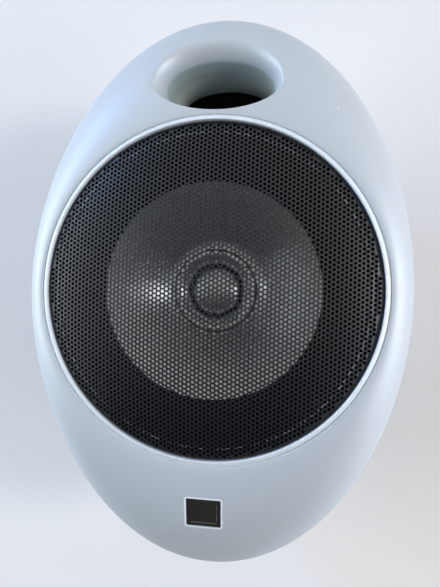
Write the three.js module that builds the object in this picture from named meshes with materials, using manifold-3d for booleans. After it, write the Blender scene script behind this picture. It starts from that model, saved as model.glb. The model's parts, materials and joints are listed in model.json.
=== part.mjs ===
// Egg-shaped satellite loudspeaker with a coaxial driver, a reflex port and rear binding posts.
// Millimetres. The driver fires along +Z, the port end is +Y, and z = 0 is the flat rear land.
import * as THREE from "three";
import { mergeVertices } from "three/addons/utils/BufferGeometryUtils.js";
import Module from "manifold-3d";

const wasm = await Module();
wasm.setup();

// Cabinet
const cabinetWidth = 130;
const cabinetLength = 188;
const frontDepth = 22; // face plane down to the seam
const rearDepth = 86; // seam down to the rear land
const shellWall = 3;
const landWidth = 44;
const landLength = 64;
const seamLapDepth = 2; // the front half's lip, inside the rear half
const seamSealHeight = 1.2;

// Fits
const clearance = 0.3; // between pieces that slide or drop together
const bondLine = 0.1; // glue between pieces that are stuck together

// Driver seat in the face, with the trim ring and the grille
const grilleRadius = 53;
const grilleThickness = 1;
const grilleRise = 5.4;
const grilleBandWidth = 3.7; // flat band between the rim and the crease
const grilleBandRise = 0.5;
const grilleRimWidth = 1.4;
const grilleRimDepth = 2.4;
const holePitch = 9.6;
const holeRadius = 3.9; // centre to corner of a six-sided hole
const trimWidth = 1.4;
const trimBeadHeight = 0.6;
const driverSeatDepth = 6;
const ledgeThickness = 2.6;
const seatWall = 2.3;
const driverScrewInset = 6.3; // screw centres, in from the flange's edge
const driverScrewRadius = 1.3;
const driverScrewLength = 9;
const driverBossRadius = 3;
const driverBossLength = 10;

// Woofer
const gasketThickness = 0.8;
const flangeThickness = 2.2;
const flangeWidth = 11.7;
const basketDepth = 20; // below the flange
const basketTaper = 5; // narrower at the foot than at the flange
const footThickness = 2;
const footClearance = 6; // foot to voice coil
const basketWall = 2.6;
const surroundWidth = 8;
const surroundLand = 3.5; // glued edge of the surround, on the basket
const surroundOverlap = 1.5; // glued edge of the surround, on the cone
const coneDepth = 10.5;
const coneThickness = 0.6;
const coneSwell = 0.9; // how far the flare stands above a straight cone
const surroundHeight = 2.6;
const surroundThickness = 0.6;
const surroundSeatDepth = 1.8; // below the flange's face
const formerRadius = 14.4; // inside
const formerWall = 0.5;
const formerLength = 20;
const windingThickness = 0.7;
const windingLength = 8;
const spiderInset = 2; // in from the basket's foot
const spiderSeatWidth = 4;
const spiderSeatRise = 6;
const spiderRidge = 0.9;
const spiderThickness = 0.6;
const magnetRadius = 36;
const magnetThickness = 15;
const magnetSetback = 3; // magnet's bore, outside the voice coil gap
const plateThickness = 5;
const buckingMagnetRadius = 30;
const buckingMagnetThickness = 8;
const canWall = 1.2;

// Tweeter, in the bore of the woofer's pole
const domeRadius = 7.9;
const domeRise = 3.2;
const domeThickness = 0.4;
const domeSurroundWidth = 1.2;
const waveguideRadius = 13.4;
const waveguideHeight = 4;
const tweeterCupRadius = 10.6;
const tweeterCupHeight = 22;
const tweeterMagnetRadius = 6.4;
const tweeterMagnetHeight = 12;
const poleDiscOverhang = 0.6;
const poleDiscHeight = 3.4;
const tweeterCoilThickness = 0.35;
const tweeterCoilHeight = 5;

// Reflex port
const portHalfWidth = 17.3;
const portHalfHeight = 8.8;
const portFlareSide = 2.4;
const portFlareTop = 5.6;
const portFlareBottom = 0.6;
const portFlareDepth = 5;
const portLength = 34;
const portBossLength = 15;
const portWall = 1.8;
const portGap = 0.4; // skin between the driver's well and the port's flare

// Badge plate, left bare
const badgeWidth = 10.8;
const badgeHeight = 9.2;
const badgeThickness = 0.8;
const badgeShare = 0.4; // of the way from the driver's opening to the cabinet's end
const badgeInset = 0.3; // plate face below the cabinet's skin

// Terminal pocket and binding posts
const pocketWidth = 44;
const pocketHeight = 30;
const pocketDepth = 25;
const pocketY = -47;
const pocketWall = 2.5;
const pocketCorner = 5;
const panelThickness = 2.4;
const panelMargin = 3; // panel edge to pocket wall
const panelScrewRadius = 1.1;
const panelScrewLength = 4;
const panelScrewInset = 2.6; // from the panel's edges
const postSpacing = 19.05; // between post centres
const studRadius = 2;
const studTip = 4; // above the rear land
const studRise = 14; // end inside the cabinet, above the pocket's floor
const capRadius = 6;
const capLength = 11;
const capGap = 1; // open turn between cap and collar
const collarHeight = 2.5;
const nutRadius = 4;
const nutHeight = 2.4;
const sleeveRadius = 3.6;
const capFlutes = 12;

// Crossover
const boardWidth = 54;
const boardLength = 62;
const boardThickness = 1.6;
const boardY = 15;
const boardHeight = 20; // underside above the rear land
const pegInset = 5;
const pegRadius = 3;
const pegPinRadius = 1.2;
const airCoreRadius = 13;
const airCoreBore = 7;
const airCoreHeight = 12;
const bobbinRadius = 7;
const bobbinWaist = 4.5;
const bobbinHeight = 12;
const bobbinFlange = 1.5;
const largeCapacitorRadius = 6.5;
const largeCapacitorLength = 26;
const smallCapacitorRadius = 4.5;
const smallCapacitorLength = 18;
const resistorWidth = 7;
const resistorLength = 22;

// Cabinet screws, bracket insert and lining
const cabinetScrewInset = 22; // screw centres, in from the cabinet's sides
const cabinetScrewSink = 6; // screw heads below the seam
const cabinetScrewRadius = 1.5;
const cabinetScrewLength = 16;
const columnRadius = 4.6;
const insertRadius = 5;
const insertBore = 3.2;
const insertLength = 12;
const liningThickness = 6;
const wireRadius = 0.9;

// Facets around a circle
const largeFacets = 32;
const mediumFacets = 20;
const smallFacets = 12;
const boreFacets = 8;

// Levels and radii that follow from the sizes above
const seamZ = rearDepth;
const faceZ = rearDepth + frontDepth;
const trimInner = grilleRadius + clearance;
const trimOuter = trimInner + trimWidth;
const openingRadius = trimOuter + clearance;
const wellRadius = openingRadius + seatWall;
const halfWidth = cabinetWidth / 2;
const halfLength = cabinetLength / 2;
const portY = wellRadius - portFlareBottom + portGap + portHalfHeight;
const badgeY = -mix(openingRadius, halfLength, badgeShare);
const cabinetScrewX = halfWidth - cabinetScrewInset;
const cabinetScrewY = halfLength / 2;
const flangeInnerRadius = trimOuter - flangeWidth;
const driverScrewCircle = trimOuter - driverScrewInset;
const coneRadius = flangeInnerRadius - surroundWidth;
const basketFootRadius = flangeInnerRadius - basketTaper;
const spiderRadius = basketFootRadius - spiderInset;

const finishes = {
  silverPaint: [0xc3c9d2, 0.42, 0.35],
  chromeBead: [0xe4e7ea, 0.2, 0.9],
  blackSteel: [0x15171a, 0.5, 0.4],
  blackPlastic: [0x1c1d1f, 0.55, 0],
  redPlastic: [0xa81e1c, 0.5, 0],
  glossBlack: [0x08090a, 0.12, 0],
  rubber: [0x18191a, 0.85, 0],
  silverCone: [0xb9bcc0, 0.35, 0.6],
  castAlloy: [0x8d9196, 0.5, 0.8],
  doped: [0xb88a3c, 0.8, 0],
  kapton: [0xa8641e, 0.5, 0.1],
  copper: [0xb5652e, 0.35, 0.9],
  zincSteel: [0xa6a9ab, 0.4, 0.9],
  ferrite: [0x2e2e30, 0.75, 0.1],
  brass: [0xb89a4a, 0.35, 0.9],
  circuitBoard: [0x2c5a35, 0.6, 0],
  capacitorSleeve: [0x2a3b68, 0.45, 0],
  cement: [0xd9d6cc, 0.85, 0],
  felt: [0x3a3a3c, 0.95, 0],
};

// ---- Solids from geometry, and back ----

function toSolid(geometry) {
  const bare = geometry.clone();
  bare.deleteAttribute("normal");
  bare.deleteAttribute("uv");
  const welded = mergeVertices(bare, 1e-4);
  const corners = welded.attributes.position.array;
  const index = welded.index.array;
  const triangles = [];
  let volume = 0;
  const a = new THREE.Vector3();
  const b = new THREE.Vector3();
  const c = new THREE.Vector3();
  for (let i = 0; i < index.length; i += 3) {
    const [p, q, r] = [index[i], index[i + 1], index[i + 2]];
    if (p === q || q === r || r === p) continue;
    triangles.push(p, q, r);
    a.fromArray(corners, 3 * p);
    b.fromArray(corners, 3 * q);
    c.fromArray(corners, 3 * r);
    volume += a.dot(b.cross(c));
  }
  if (volume < 0) triangles.reverse();
  const mesh = new wasm.Mesh({
    numProp: 3,
    vertProperties: new Float32Array(corners),
    triVerts: new Uint32Array(triangles),
  });
  return new wasm.Manifold(mesh);
}

function toGeometry(solid) {
  const mesh = solid.getMesh();
  const geometry = new THREE.BufferGeometry();
  geometry.setAttribute("position", new THREE.BufferAttribute(mesh.vertProperties, 3));
  geometry.setIndex(new THREE.BufferAttribute(mesh.triVerts, 1));
  geometry.computeVertexNormals();
  return geometry;
}

// A closed profile of [radius, z] corners turned about Z.
function revolve(profile, facets) {
  const corners = profile.map(([radius, z]) => new THREE.Vector2(radius, z));
  if (profile[0][0] > 0) corners.push(corners[0].clone());
  const geometry = new THREE.LatheGeometry(corners, facets);
  return toSolid(geometry.rotateX(Math.PI / 2));
}

function ring(inner, outer, low, high, facets) {
  return revolve([[inner, low], [outer, low], [outer, high], [inner, high]], facets);
}

function disc(radius, low, high, facets) {
  return revolve([[0, low], [radius, low], [radius, high], [0, high]], facets);
}

function discAt(x, y, radius, low, high, facets) {
  return disc(radius, low, high, facets).translate([x, y, 0]);
}

function block(width, length, height, x, y, z) {
  return toSolid(new THREE.BoxGeometry(width, length, height)).translate([x, y, z]);
}

// Loops of points joined by walls; a loft without end points closes on itself as a ring.
function loft(loops, startPoint, endPoint) {
  const count = loops[0].length;
  const corners = loops.flat();
  const index = [];
  const isRing = startPoint === undefined;
  const bands = isRing ? loops.length : loops.length - 1;
  for (let band = 0; band < bands; band += 1) {
    const low = band * count;
    const high = ((band + 1) % loops.length) * count;
    for (let i = 0; i < count; i += 1) {
      const j = (i + 1) % count;
      index.push(low + i, low + j, high + j, low + i, high + j, high + i);
    }
  }
  if (!isRing) {
    const last = (loops.length - 1) * count;
    corners.push(startPoint, endPoint);
    for (let i = 0; i < count; i += 1) {
      const j = (i + 1) % count;
      index.push(corners.length - 2, j, i);
      index.push(corners.length - 1, last + i, last + j);
    }
  }
  const geometry = new THREE.BufferGeometry();
  geometry.setAttribute("position", new THREE.Float32BufferAttribute(corners.flat(), 3));
  geometry.setIndex(index);
  return toSolid(geometry);
}

function steps(count) {
  return Array.from({ length: count + 1 }, (_, i) => i / count);
}

function mix(from, to, share) {
  return from + (to - from) * share;
}

function roundedRectangle(width, height, corner) {
  const shape = new THREE.Shape();
  const x = width / 2;
  const y = height / 2;
  shape.absarc(x - corner, y - corner, corner, 0, Math.PI / 2);
  shape.absarc(corner - x, y - corner, corner, Math.PI / 2, Math.PI);
  shape.absarc(corner - x, corner - y, corner, Math.PI, Math.PI * 1.5);
  shape.absarc(x - corner, corner - y, corner, Math.PI * 1.5, Math.PI * 2);
  return shape;
}

function extrude(shape, depth, curveSegments) {
  return toSolid(new THREE.ExtrudeGeometry(shape, { depth, curveSegments, bevelEnabled: false }));
}

// ---- The scene graph ----

const speaker = new THREE.Group();

function group(parent, z) {
  const child = new THREE.Group();
  child.position.z = z;
  parent.add(child);
  return child;
}

function addPiece(parent, name, solid, finish, x = 0, y = 0, z = 0) {
  const [color, roughness, metalness] = finishes[finish];
  const material = new THREE.MeshStandardMaterial({ color, roughness, metalness });
  const mesh = new THREE.Mesh(toGeometry(solid), material);
  mesh.name = name;
  mesh.position.set(x, y, z);
  parent.add(mesh);
  return mesh;
}

// ---- Cabinet ----

// Distance from the axis to an ellipse, in the direction of an angle about Z.
function ellipseRadius(angle, semiX, semiY) {
  return 1 / Math.hypot(Math.cos(angle) / semiX, Math.sin(angle) / semiY);
}

function loopAt(radiusAt, z) {
  return Array.from({ length: largeFacets }, (_, i) => {
    const angle = (i * 2 * Math.PI) / largeFacets;
    const radius = radiusAt(angle);
    return [radius * Math.cos(angle), radius * Math.sin(angle), z];
  });
}

function cabinetOutline(inset) {
  return (angle) => ellipseRadius(angle, halfWidth - inset, halfLength - inset);
}

// The front half swells from the round driver opening to the oval seam as a quarter ellipse.
function frontLoop(turn, inset, innerRadius) {
  const outline = cabinetOutline(inset);
  const radiusAt = (angle) => mix(innerRadius, outline(angle), Math.sin(turn));
  return loopAt(radiusAt, seamZ + (frontDepth - inset) * Math.cos(turn));
}

// The rear half narrows from the seam to the flat land as a quarter ellipse.
function rearLoop(turn, inset) {
  const outline = cabinetOutline(inset);
  const land = (angle) => ellipseRadius(angle, landWidth / 2, landLength / 2);
  const radiusAt = (angle) => mix(land(angle) - inset / 2, outline(angle), Math.cos(turn));
  return loopAt(radiusAt, seamZ - (rearDepth - inset) * Math.sin(turn));
}

// Height of the front half's skin over a point of the face.
function skinHeight(x, y) {
  const radius = Math.hypot(x, y);
  const outline = cabinetOutline(0)(Math.atan2(y, x));
  const share = THREE.MathUtils.clamp((radius - openingRadius) / (outline - openingRadius), 0, 1);
  return seamZ + frontDepth * Math.sqrt(1 - share * share);
}

const ledgeZ = faceZ - driverSeatDepth;
const flangeBottom = ledgeZ + gasketThickness;
const flangeTop = flangeBottom + flangeThickness;
const basketMouthRadius = flangeInnerRadius + basketWall;
const ledgeInner = basketMouthRadius + clearance;
const quarter = Math.PI / 2;

// Oval section of the port, widened towards the mouth by the flare.
function portLoop(flare, wall, zAt) {
  return Array.from({ length: mediumFacets }, (_, i) => {
    const angle = (i * 2 * Math.PI) / mediumFacets;
    const across = Math.cos(angle);
    const up = Math.sin(angle);
    const flareUp = up > 0 ? portFlareTop : portFlareBottom;
    const x = (portHalfWidth + wall + flare * portFlareSide) * across;
    const y = portY + (portHalfHeight + wall + flare * flareUp) * up;
    return [x, y, zAt(x, y)];
  });
}

function portPlug() {
  const above = (x, y) => skinHeight(x, y) + 2;
  const floor = faceZ - portBossLength - 1;
  const loops = [portLoop(1, 0, above)];
  for (const share of steps(3)) {
    const turn = mix(0.25, quarter, share);
    const flare = 1 - Math.sin(turn);
    const depth = portFlareDepth * (1 - Math.cos(turn));
    loops.push(portLoop(flare, 0, (x, y) => skinHeight(x, y) - depth));
  }
  loops.push(portLoop(0, 0, () => floor));
  return loft(loops, [0, portY, faceZ + 2], [0, portY, floor]);
}

function portBoss() {
  const bossEnd = faceZ - portBossLength;
  const loops = [
    portLoop(1, portWall / 2, (x, y) => skinHeight(x, y) - shellWall / 2),
    portLoop(0.5, portWall, (x, y) => skinHeight(x, y) - shellWall / 2 - portFlareDepth / 2),
    portLoop(0, portWall, (x, y) => skinHeight(x, y) - shellWall - portFlareDepth),
    portLoop(0, portWall, () => bossEnd),
  ];
  return loft(loops, [0, portY, skinHeight(0, portY) - shellWall / 2], [0, portY, bossEnd]);
}

// Frame of the badge recess: its centre on the skin and its tilt about X.
const badgeSlope = Math.atan2(
  skinHeight(0, badgeY + badgeHeight / 2) - skinHeight(0, badgeY - badgeHeight / 2),
  badgeHeight,
);
const badgeFloor = badgeThickness + badgeInset + bondLine;

function badgeRecess() {
  const depth = 2 * badgeFloor;
  return block(badgeWidth + clearance, badgeHeight + clearance, depth, 0, 0, 0)
    .rotate([THREE.MathUtils.radToDeg(badgeSlope), 0, 0])
    .translate([0, badgeY, skinHeight(0, badgeY)]);
}

function cabinetScrewPlaces() {
  return [[1, 1], [-1, 1], [-1, -1], [1, -1]].map(([x, y]) => [x * cabinetScrewX, y * cabinetScrewY]);
}

function driverScrewPlaces() {
  return [0, 1, 2, 3].map((i) => {
    const angle = quarter * (i + 0.5);
    return [driverScrewCircle * Math.cos(angle), driverScrewCircle * Math.sin(angle)];
  });
}

function frontShell() {
  const lipInset = shellWall * 0.6;
  const lipEnd = seamZ - seamLapDepth;
  const loops = [];
  for (const share of steps(5)) loops.push(frontLoop(quarter * (1 - share), 0, openingRadius));
  loops.push(loopAt(() => openingRadius, ledgeZ));
  loops.push(loopAt(() => ledgeInner, ledgeZ));
  loops.push(loopAt(() => ledgeInner, ledgeZ - ledgeThickness));
  loops.push(loopAt(() => wellRadius, ledgeZ - ledgeThickness));
  for (const share of steps(3)) loops.push(frontLoop(quarter * share, shellWall, wellRadius));
  loops.push(loopAt(cabinetOutline(shellWall), lipEnd));
  loops.push(loopAt(cabinetOutline(lipInset), lipEnd));
  loops.push(loopAt(cabinetOutline(lipInset), seamZ));
  let shell = loft(loops).add(portBoss());
  for (const [x, y] of driverScrewPlaces()) {
    const bossEnd = ledgeZ - driverBossLength;
    shell = shell.add(discAt(x, y, driverBossRadius, bossEnd, ledgeZ - 1, boreFacets));
  }
  for (const [x, y] of cabinetScrewPlaces()) {
    const outward = 1 + columnRadius / Math.hypot(x, y);
    const top = skinHeight(x * outward, y * outward) - shellWall / 2;
    shell = shell.add(discAt(x, y, columnRadius, seamZ + clearance, top, boreFacets));
  }
  for (const [x, y] of driverScrewPlaces()) {
    const bossEnd = ledgeZ - driverBossLength;
    const pilot = driverScrewRadius + clearance;
    shell = shell.subtract(discAt(x, y, pilot, bossEnd - 1, ledgeZ + 1, boreFacets));
  }
  for (const [x, y] of cabinetScrewPlaces()) {
    const pilot = cabinetScrewRadius + clearance;
    const pilotEnd = seamZ + cabinetScrewLength * 0.75;
    shell = shell.subtract(discAt(x, y, pilot, seamZ - 1, pilotEnd, boreFacets));
  }
  const driverSpace = disc(openingRadius, ledgeZ, faceZ + 1, largeFacets);
  return shell.subtract(driverSpace).subtract(portPlug()).subtract(badgeRecess());
}

const pocketFloor = pocketDepth;
const panelScrewX = pocketWidth / 2 - panelMargin - panelScrewInset;
const panelScrewY = pocketHeight / 2 - panelMargin - panelScrewInset;
const panelZ = pocketFloor - panelThickness - bondLine;
const screwSeatZ = seamZ - cabinetScrewSink; // shoulder under each cabinet screw's head
const boardPegs = [[1, 1], [-1, 1], [-1, -1], [1, -1]].map(([x, y]) => [
  x * (boardWidth / 2 - pegInset),
  boardY + y * (boardLength / 2 - pegInset),
]);

function pocketSolid(grow, low, high) {
  const shape = roundedRectangle(pocketWidth + 2 * grow, pocketHeight + 2 * grow, pocketCorner + grow);
  return extrude(shape, high - low, 3).translate([0, pocketY, low]);
}

const wallShares = steps(4); // bands of the rear half's inner wall

// The space inside the middle of the rear half's wall, for trimming what stands on the wall.
function rearFill() {
  const inset = shellWall / 2;
  const loops = wallShares.map((share) => rearLoop(quarter * share, inset));
  return loft(loops, [0, 0, seamZ], [0, 0, inset]);
}

function rearShell() {
  const lipInset = shellWall * 0.6 - clearance;
  const rebateZ = seamZ - seamLapDepth - seamSealHeight;
  const outer = steps(7).map((share) => rearLoop(quarter * share, 0));
  const inner = wallShares.toReversed().map((share) => rearLoop(quarter * share, shellWall));
  inner[inner.length - 1] = loopAt(cabinetOutline(shellWall + 0.2), rebateZ);
  inner.push(loopAt(cabinetOutline(lipInset), rebateZ));
  inner.push(loopAt(cabinetOutline(lipInset), seamZ));
  let shell = loft([...inner, ...outer], [0, 0, shellWall], [0, 0, 0]);
  let inside = pocketSolid(pocketWall, 0, pocketFloor + pocketWall);
  for (const [x, y] of cabinetScrewPlaces()) {
    inside = inside.add(discAt(x, y, columnRadius, 0, seamZ - clearance, boreFacets));
  }
  for (const [x, y] of boardPegs) {
    inside = inside.add(discAt(x, y, pegRadius, 0, boardHeight - bondLine, boreFacets));
    inside = inside.add(discAt(x, y, pegPinRadius, 0, boardHeight + boardThickness + 1, boreFacets));
  }
  inside = inside.add(disc(insertRadius + shellWall, 0, insertLength + shellWall, smallFacets));
  shell = shell.add(inside.intersect(rearFill()));
  for (const [x, y] of cabinetScrewPlaces()) {
    const headBore = cabinetScrewRadius * 2 + clearance;
    shell = shell.subtract(discAt(x, y, headBore, -1, screwSeatZ, boreFacets));
    shell = shell.subtract(discAt(x, y, cabinetScrewRadius + clearance, 0, seamZ, boreFacets));
  }
  for (const side of [-1, 1]) {
    const pilot = panelScrewRadius + clearance;
    const top = pocketFloor + pocketWall + 1;
    const y = pocketY + side * panelScrewY;
    shell = shell.subtract(discAt(side * panelScrewX, y, pilot, 0, top, boreFacets));
  }
  const window = block(postSpacing * 1.45, pocketHeight / 3, pocketWall * 4, 0, pocketY, pocketFloor);
  const insertHole = disc(insertRadius + clearance, -1, insertLength + bondLine, smallFacets);
  return shell.subtract(pocketSolid(0, -1, pocketFloor)).subtract(window).subtract(insertHole);
}

function seamSeal() {
  const low = seamZ - seamLapDepth - seamSealHeight + bondLine;
  const high = seamZ - seamLapDepth - bondLine;
  const inner = cabinetOutline(shellWall);
  const outer = cabinetOutline(shellWall * 0.6);
  return loft([loopAt(inner, low), loopAt(outer, low), loopAt(outer, high), loopAt(inner, high)]);
}

function lining() {
  const shares = wallShares.slice(1, 3);
  const outer = shares.map((share) => rearLoop(quarter * share, shellWall + clearance));
  const inner = shares.map((share) => rearLoop(quarter * share, shellWall + liningThickness));
  let felt = loft([...outer, ...inner.reverse()]);
  for (const [x, y] of cabinetScrewPlaces()) {
    felt = felt.subtract(discAt(x, y, columnRadius + clearance, 0, seamZ, boreFacets));
  }
  return felt;
}

function portTube() {
  const top = faceZ - portBossLength - bondLine;
  const low = faceZ - portLength;
  const outer = [low, top].map((z) => portLoop(0, portWall, () => z));
  const inner = [top, low].map((z) => portLoop(0, 0, () => z));
  return loft([...outer, ...inner]);
}

function trimRing() {
  const low = flangeTop + bondLine;
  const middle = (trimInner + trimOuter) / 2;
  const profile = [[trimInner, low], [trimOuter, low], [trimOuter, faceZ]];
  profile.push([mix(middle, trimOuter, 0.4), faceZ + trimBeadHeight]);
  profile.push([mix(middle, trimInner, 0.4), faceZ + trimBeadHeight]);
  profile.push([trimInner, faceZ]);
  return revolve(profile, largeFacets);
}

// ---- Grille ----

// Height of the grille's outer face: a shallow flat band, a crease, then the dome.
function grilleHeight(radius) {
  const crease = grilleRadius - grilleBandWidth;
  if (radius > crease) return faceZ + (grilleBandRise * (grilleRadius - radius)) / grilleBandWidth;
  const share = radius / crease;
  return faceZ + grilleBandRise + (grilleRise - grilleBandRise) * (1 - share * share) ** 0.8;
}

const punchedRadius = grilleRadius - grilleBandWidth - holeRadius * 1.1;
const sheetRadius = grilleRadius - grilleBandWidth * 0.7;

// Sites of a triangular lattice with rows along Y; a site is punched where it is clear of the band.
function latticeSites() {
  const columnStep = (holePitch * Math.sqrt(3)) / 2;
  const reach = Math.ceil(grilleRadius / columnStep) + 1;
  const sites = new Map();
  for (let column = -reach; column <= reach; column += 1) {
    for (let row = -reach; row <= reach; row += 1) {
      const x = column * columnStep;
      const y = (row + column / 2) * holePitch;
      const radius = Math.hypot(x, y);
      if (radius > punchedRadius + holePitch) continue;
      sites.set(`${column},${row}`, { column, row, x, y, punched: radius < punchedRadius });
    }
  }
  return sites;
}

// Web between the holes: a strip for each pair of neighbours and a small triangle for each three.
function grilleField() {
  const sites = latticeSites();
  const around = [[1, 0], [0, 1], [-1, 1], [-1, 0], [0, -1], [1, -1]];
  const plan = [];
  const top = [];
  for (const site of sites.values()) {
    site.first = plan.length;
    for (let k = 0; k < 6; k += 1) {
      const angle = (k * Math.PI) / 3;
      plan.push([site.x + holeRadius * Math.cos(angle), site.y + holeRadius * Math.sin(angle)]);
    }
    if (site.punched) continue;
    for (let k = 1; k < 5; k += 1) top.push([site.first, site.first + k, site.first + k + 1]);
  }
  for (const site of sites.values()) {
    const neighbours = around.map(([c, r]) => sites.get(`${site.column + c},${site.row + r}`));
    const corner = (piece, k) => piece.first + (k % 6);
    for (const k of [0, 1, 2]) {
      const other = neighbours[k];
      if (other === undefined) continue;
      top.push([corner(site, k + 1), corner(site, k), corner(other, k + 4)]);
      top.push([corner(site, k + 1), corner(other, k + 4), corner(other, k + 3)]);
    }
    for (const k of [0, 1]) {
      const before = neighbours[(k + 5) % 6];
      const after = neighbours[k];
      if (before === undefined || after === undefined) continue;
      top.push([corner(site, k), corner(before, k + 2), corner(after, k + 4)]);
    }
  }
  return thickSheet(plan, top);
}

// A sheet over a plan, with a wall along every edge that only one of its triangles uses.
// What reaches past the edge radius is dropped, or drawn back to it, so the sheet ends in the band.
function thickSheet(plan, top) {
  const radii = plan.map(([x, y]) => Math.hypot(x, y));
  const kept = top.filter((triangle) => triangle.some((corner) => radii[corner] < sheetRadius));
  const corners = [];
  for (const drop of [0, grilleThickness]) {
    plan.forEach(([x, y], i) => {
      const shrink = Math.min(1, sheetRadius / radii[i]);
      corners.push(x * shrink, y * shrink, grilleHeight(radii[i] * shrink) - drop);
    });
  }
  const index = [];
  const edges = new Set();
  for (const [a, b, c] of kept) {
    index.push(a, b, c);
    index.push(a + plan.length, c + plan.length, b + plan.length);
    for (const [p, q] of [[a, b], [b, c], [c, a]]) edges.add(`${p},${q}`);
  }
  for (const edge of edges) {
    const [p, q] = edge.split(",").map(Number);
    if (edges.has(`${q},${p}`)) continue;
    index.push(q, p, p + plan.length);
    index.push(q, p + plan.length, q + plan.length);
  }
  const geometry = new THREE.BufferGeometry();
  geometry.setAttribute("position", new THREE.Float32BufferAttribute(corners, 3));
  geometry.setIndex(index);
  return toSolid(geometry);
}

// The folded rim, the flat band and the crease, a little thicker than the punched sheet it carries.
function grilleBand() {
  const rimInner = grilleRadius - grilleRimWidth;
  const rimLow = faceZ - grilleRimDepth;
  const crease = grilleRadius - grilleBandWidth;
  const extra = 0.1;
  const under = grilleThickness + extra;
  return revolve(
    [
      [crease, grilleHeight(crease) + extra],
      [crease, grilleHeight(crease) - under],
      [rimInner, grilleHeight(rimInner) - under],
      [rimInner, rimLow],
      [grilleRadius, rimLow],
      [grilleRadius, faceZ],
    ],
    largeFacets,
  );
}

function grille() {
  return grilleField().add(grilleBand());
}

// ---- Badge plate ----

function badgePlate() {
  const bevel = 0.3;
  const shape = roundedRectangle(badgeWidth - 2 * bevel, badgeHeight - 2 * bevel, 0.5);
  const options = { depth: badgeThickness - bevel, bevelSize: bevel, bevelThickness: bevel };
  const plate = new THREE.ExtrudeGeometry(shape, { ...options, bevelSegments: 1, curveSegments: 2 });
  return toSolid(plate).trimByPlane([0, 0, 1], 0);
}

// ---- Woofer, measured from the face plane ----

const flangeTopZ = flangeTop - faceZ;
const flangeBottomZ = flangeBottom - faceZ;
const basketFloorZ = flangeBottomZ - basketDepth; // the magnet's front plate bolts on here
const spiderSeatZ = basketFloorZ + footThickness + spiderSeatRise;
const surroundSeatZ = flangeTopZ - surroundSeatDepth;
const coneEdgeZ = surroundSeatZ + surroundThickness + bondLine;
const coneNeckZ = coneEdgeZ - coneDepth;
const formerOuter = formerRadius + formerWall;
const coilRadius = formerOuter + windingThickness;
const gapRadius = coilRadius + clearance;
const poleRadius = formerRadius - clearance;
const plateZ = basketFloorZ - bondLine;
const magnetZ = plateZ - plateThickness - bondLine;
const yokeZ = magnetZ - magnetThickness - bondLine;
const cupSink = tweeterCupHeight * 0.6; // of the tweeter's cup, inside the yoke

function basket() {
  const land = flangeInnerRadius + surroundLand;
  const footInner = coilRadius + footClearance;
  const profile = [
    [trimOuter, flangeTopZ],
    [land, flangeTopZ],
    [land, surroundSeatZ],
    [flangeInnerRadius, surroundSeatZ],
    [spiderRadius + clearance, spiderSeatZ],
    [spiderRadius - spiderSeatWidth, spiderSeatZ],
    [spiderRadius - spiderSeatWidth, basketFloorZ + footThickness],
    [footInner, basketFloorZ + footThickness],
    [footInner, basketFloorZ],
    [basketFootRadius, basketFloorZ],
    [basketMouthRadius, flangeBottomZ],
    [trimOuter, flangeBottomZ],
  ];
  let frame = revolve(profile, largeFacets);
  const windowLow = spiderSeatZ + 1;
  const windowHigh = flangeBottomZ - 1;
  const windowWidth = basketMouthRadius * 0.62;
  for (const i of [0, 1, 2]) {
    const windows = block(
      basketMouthRadius * 2.4,
      windowWidth,
      windowHigh - windowLow,
      0,
      0,
      (windowLow + windowHigh) / 2,
    );
    frame = frame.subtract(windows.rotate([0, 0, 60 * i]));
  }
  for (const [x, y] of driverScrewPlaces()) {
    const hole = discAt(x, y, driverScrewRadius + clearance, flangeBottomZ - 1, flangeTopZ + 1, boreFacets);
    frame = frame.subtract(hole);
  }
  return frame;
}

function basketGasket() {
  const inner = driverScrewCircle + driverScrewRadius + 2 * clearance;
  return ring(inner, trimOuter, bondLine - driverSeatDepth, flangeBottomZ - bondLine, largeFacets);
}

// The cone curves gently outwards from the voice coil, so its flare also guides the tweeter.
function cone() {
  const inner = formerOuter + bondLine;
  const outer = [];
  const back = [];
  for (const share of steps(3)) {
    const radius = mix(inner, coneRadius, share);
    const z = mix(coneNeckZ, coneEdgeZ, share) + Math.sin(Math.PI * share) * coneSwell;
    outer.push([radius, z]);
    back.unshift([radius, z - coneThickness]);
  }
  return revolve([...outer, ...back], mediumFacets);
}

function surround() {
  const inner = coneRadius - surroundOverlap;
  const outer = flangeInnerRadius + surroundLand - clearance;
  const rollIn = coneRadius + 0.6;
  const rollOut = flangeInnerRadius - 0.4;
  const low = coneEdgeZ + bondLine;
  const middle = (rollIn + rollOut) / 2;
  const half = (rollOut - rollIn) / 2;
  const top = [[inner, low + surroundThickness], [outer, low + surroundThickness]];
  const skin = [];
  for (const share of steps(3)) {
    const turn = Math.PI * (1 - share);
    skin.push([middle + half * Math.cos(turn), low + surroundHeight * Math.sin(turn)]);
  }
  const upper = skin.map(([r, z]) => [r, z + surroundThickness]);
  return revolve([[inner, low], ...skin, [outer, low], top[1], ...upper.reverse(), top[0]], mediumFacets);
}

function spider() {
  const inner = formerOuter + bondLine;
  const low = spiderSeatZ + bondLine;
  const upper = [];
  const under = [];
  const count = 4;
  for (const share of steps(count)) {
    const radius = mix(inner, spiderRadius - clearance, share);
    const flat = share === 0 || share === 1;
    const wave = flat ? 0 : spiderRidge * (Math.round(share * count) % 2 ? 1 : -1);
    upper.push([radius, low + wave + spiderThickness]);
    under.unshift([radius, low + wave]);
  }
  return revolve([...upper, ...under], mediumFacets);
}

function former() {
  const top = coneNeckZ + 0.6;
  return ring(formerRadius, formerOuter, top - formerLength, top, mediumFacets);
}

function winding() {
  const middle = plateZ - plateThickness / 2;
  const [low, high] = [middle - windingLength / 2, middle + windingLength / 2];
  return ring(formerOuter + 0.02, coilRadius, low, high, mediumFacets);
}

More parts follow.
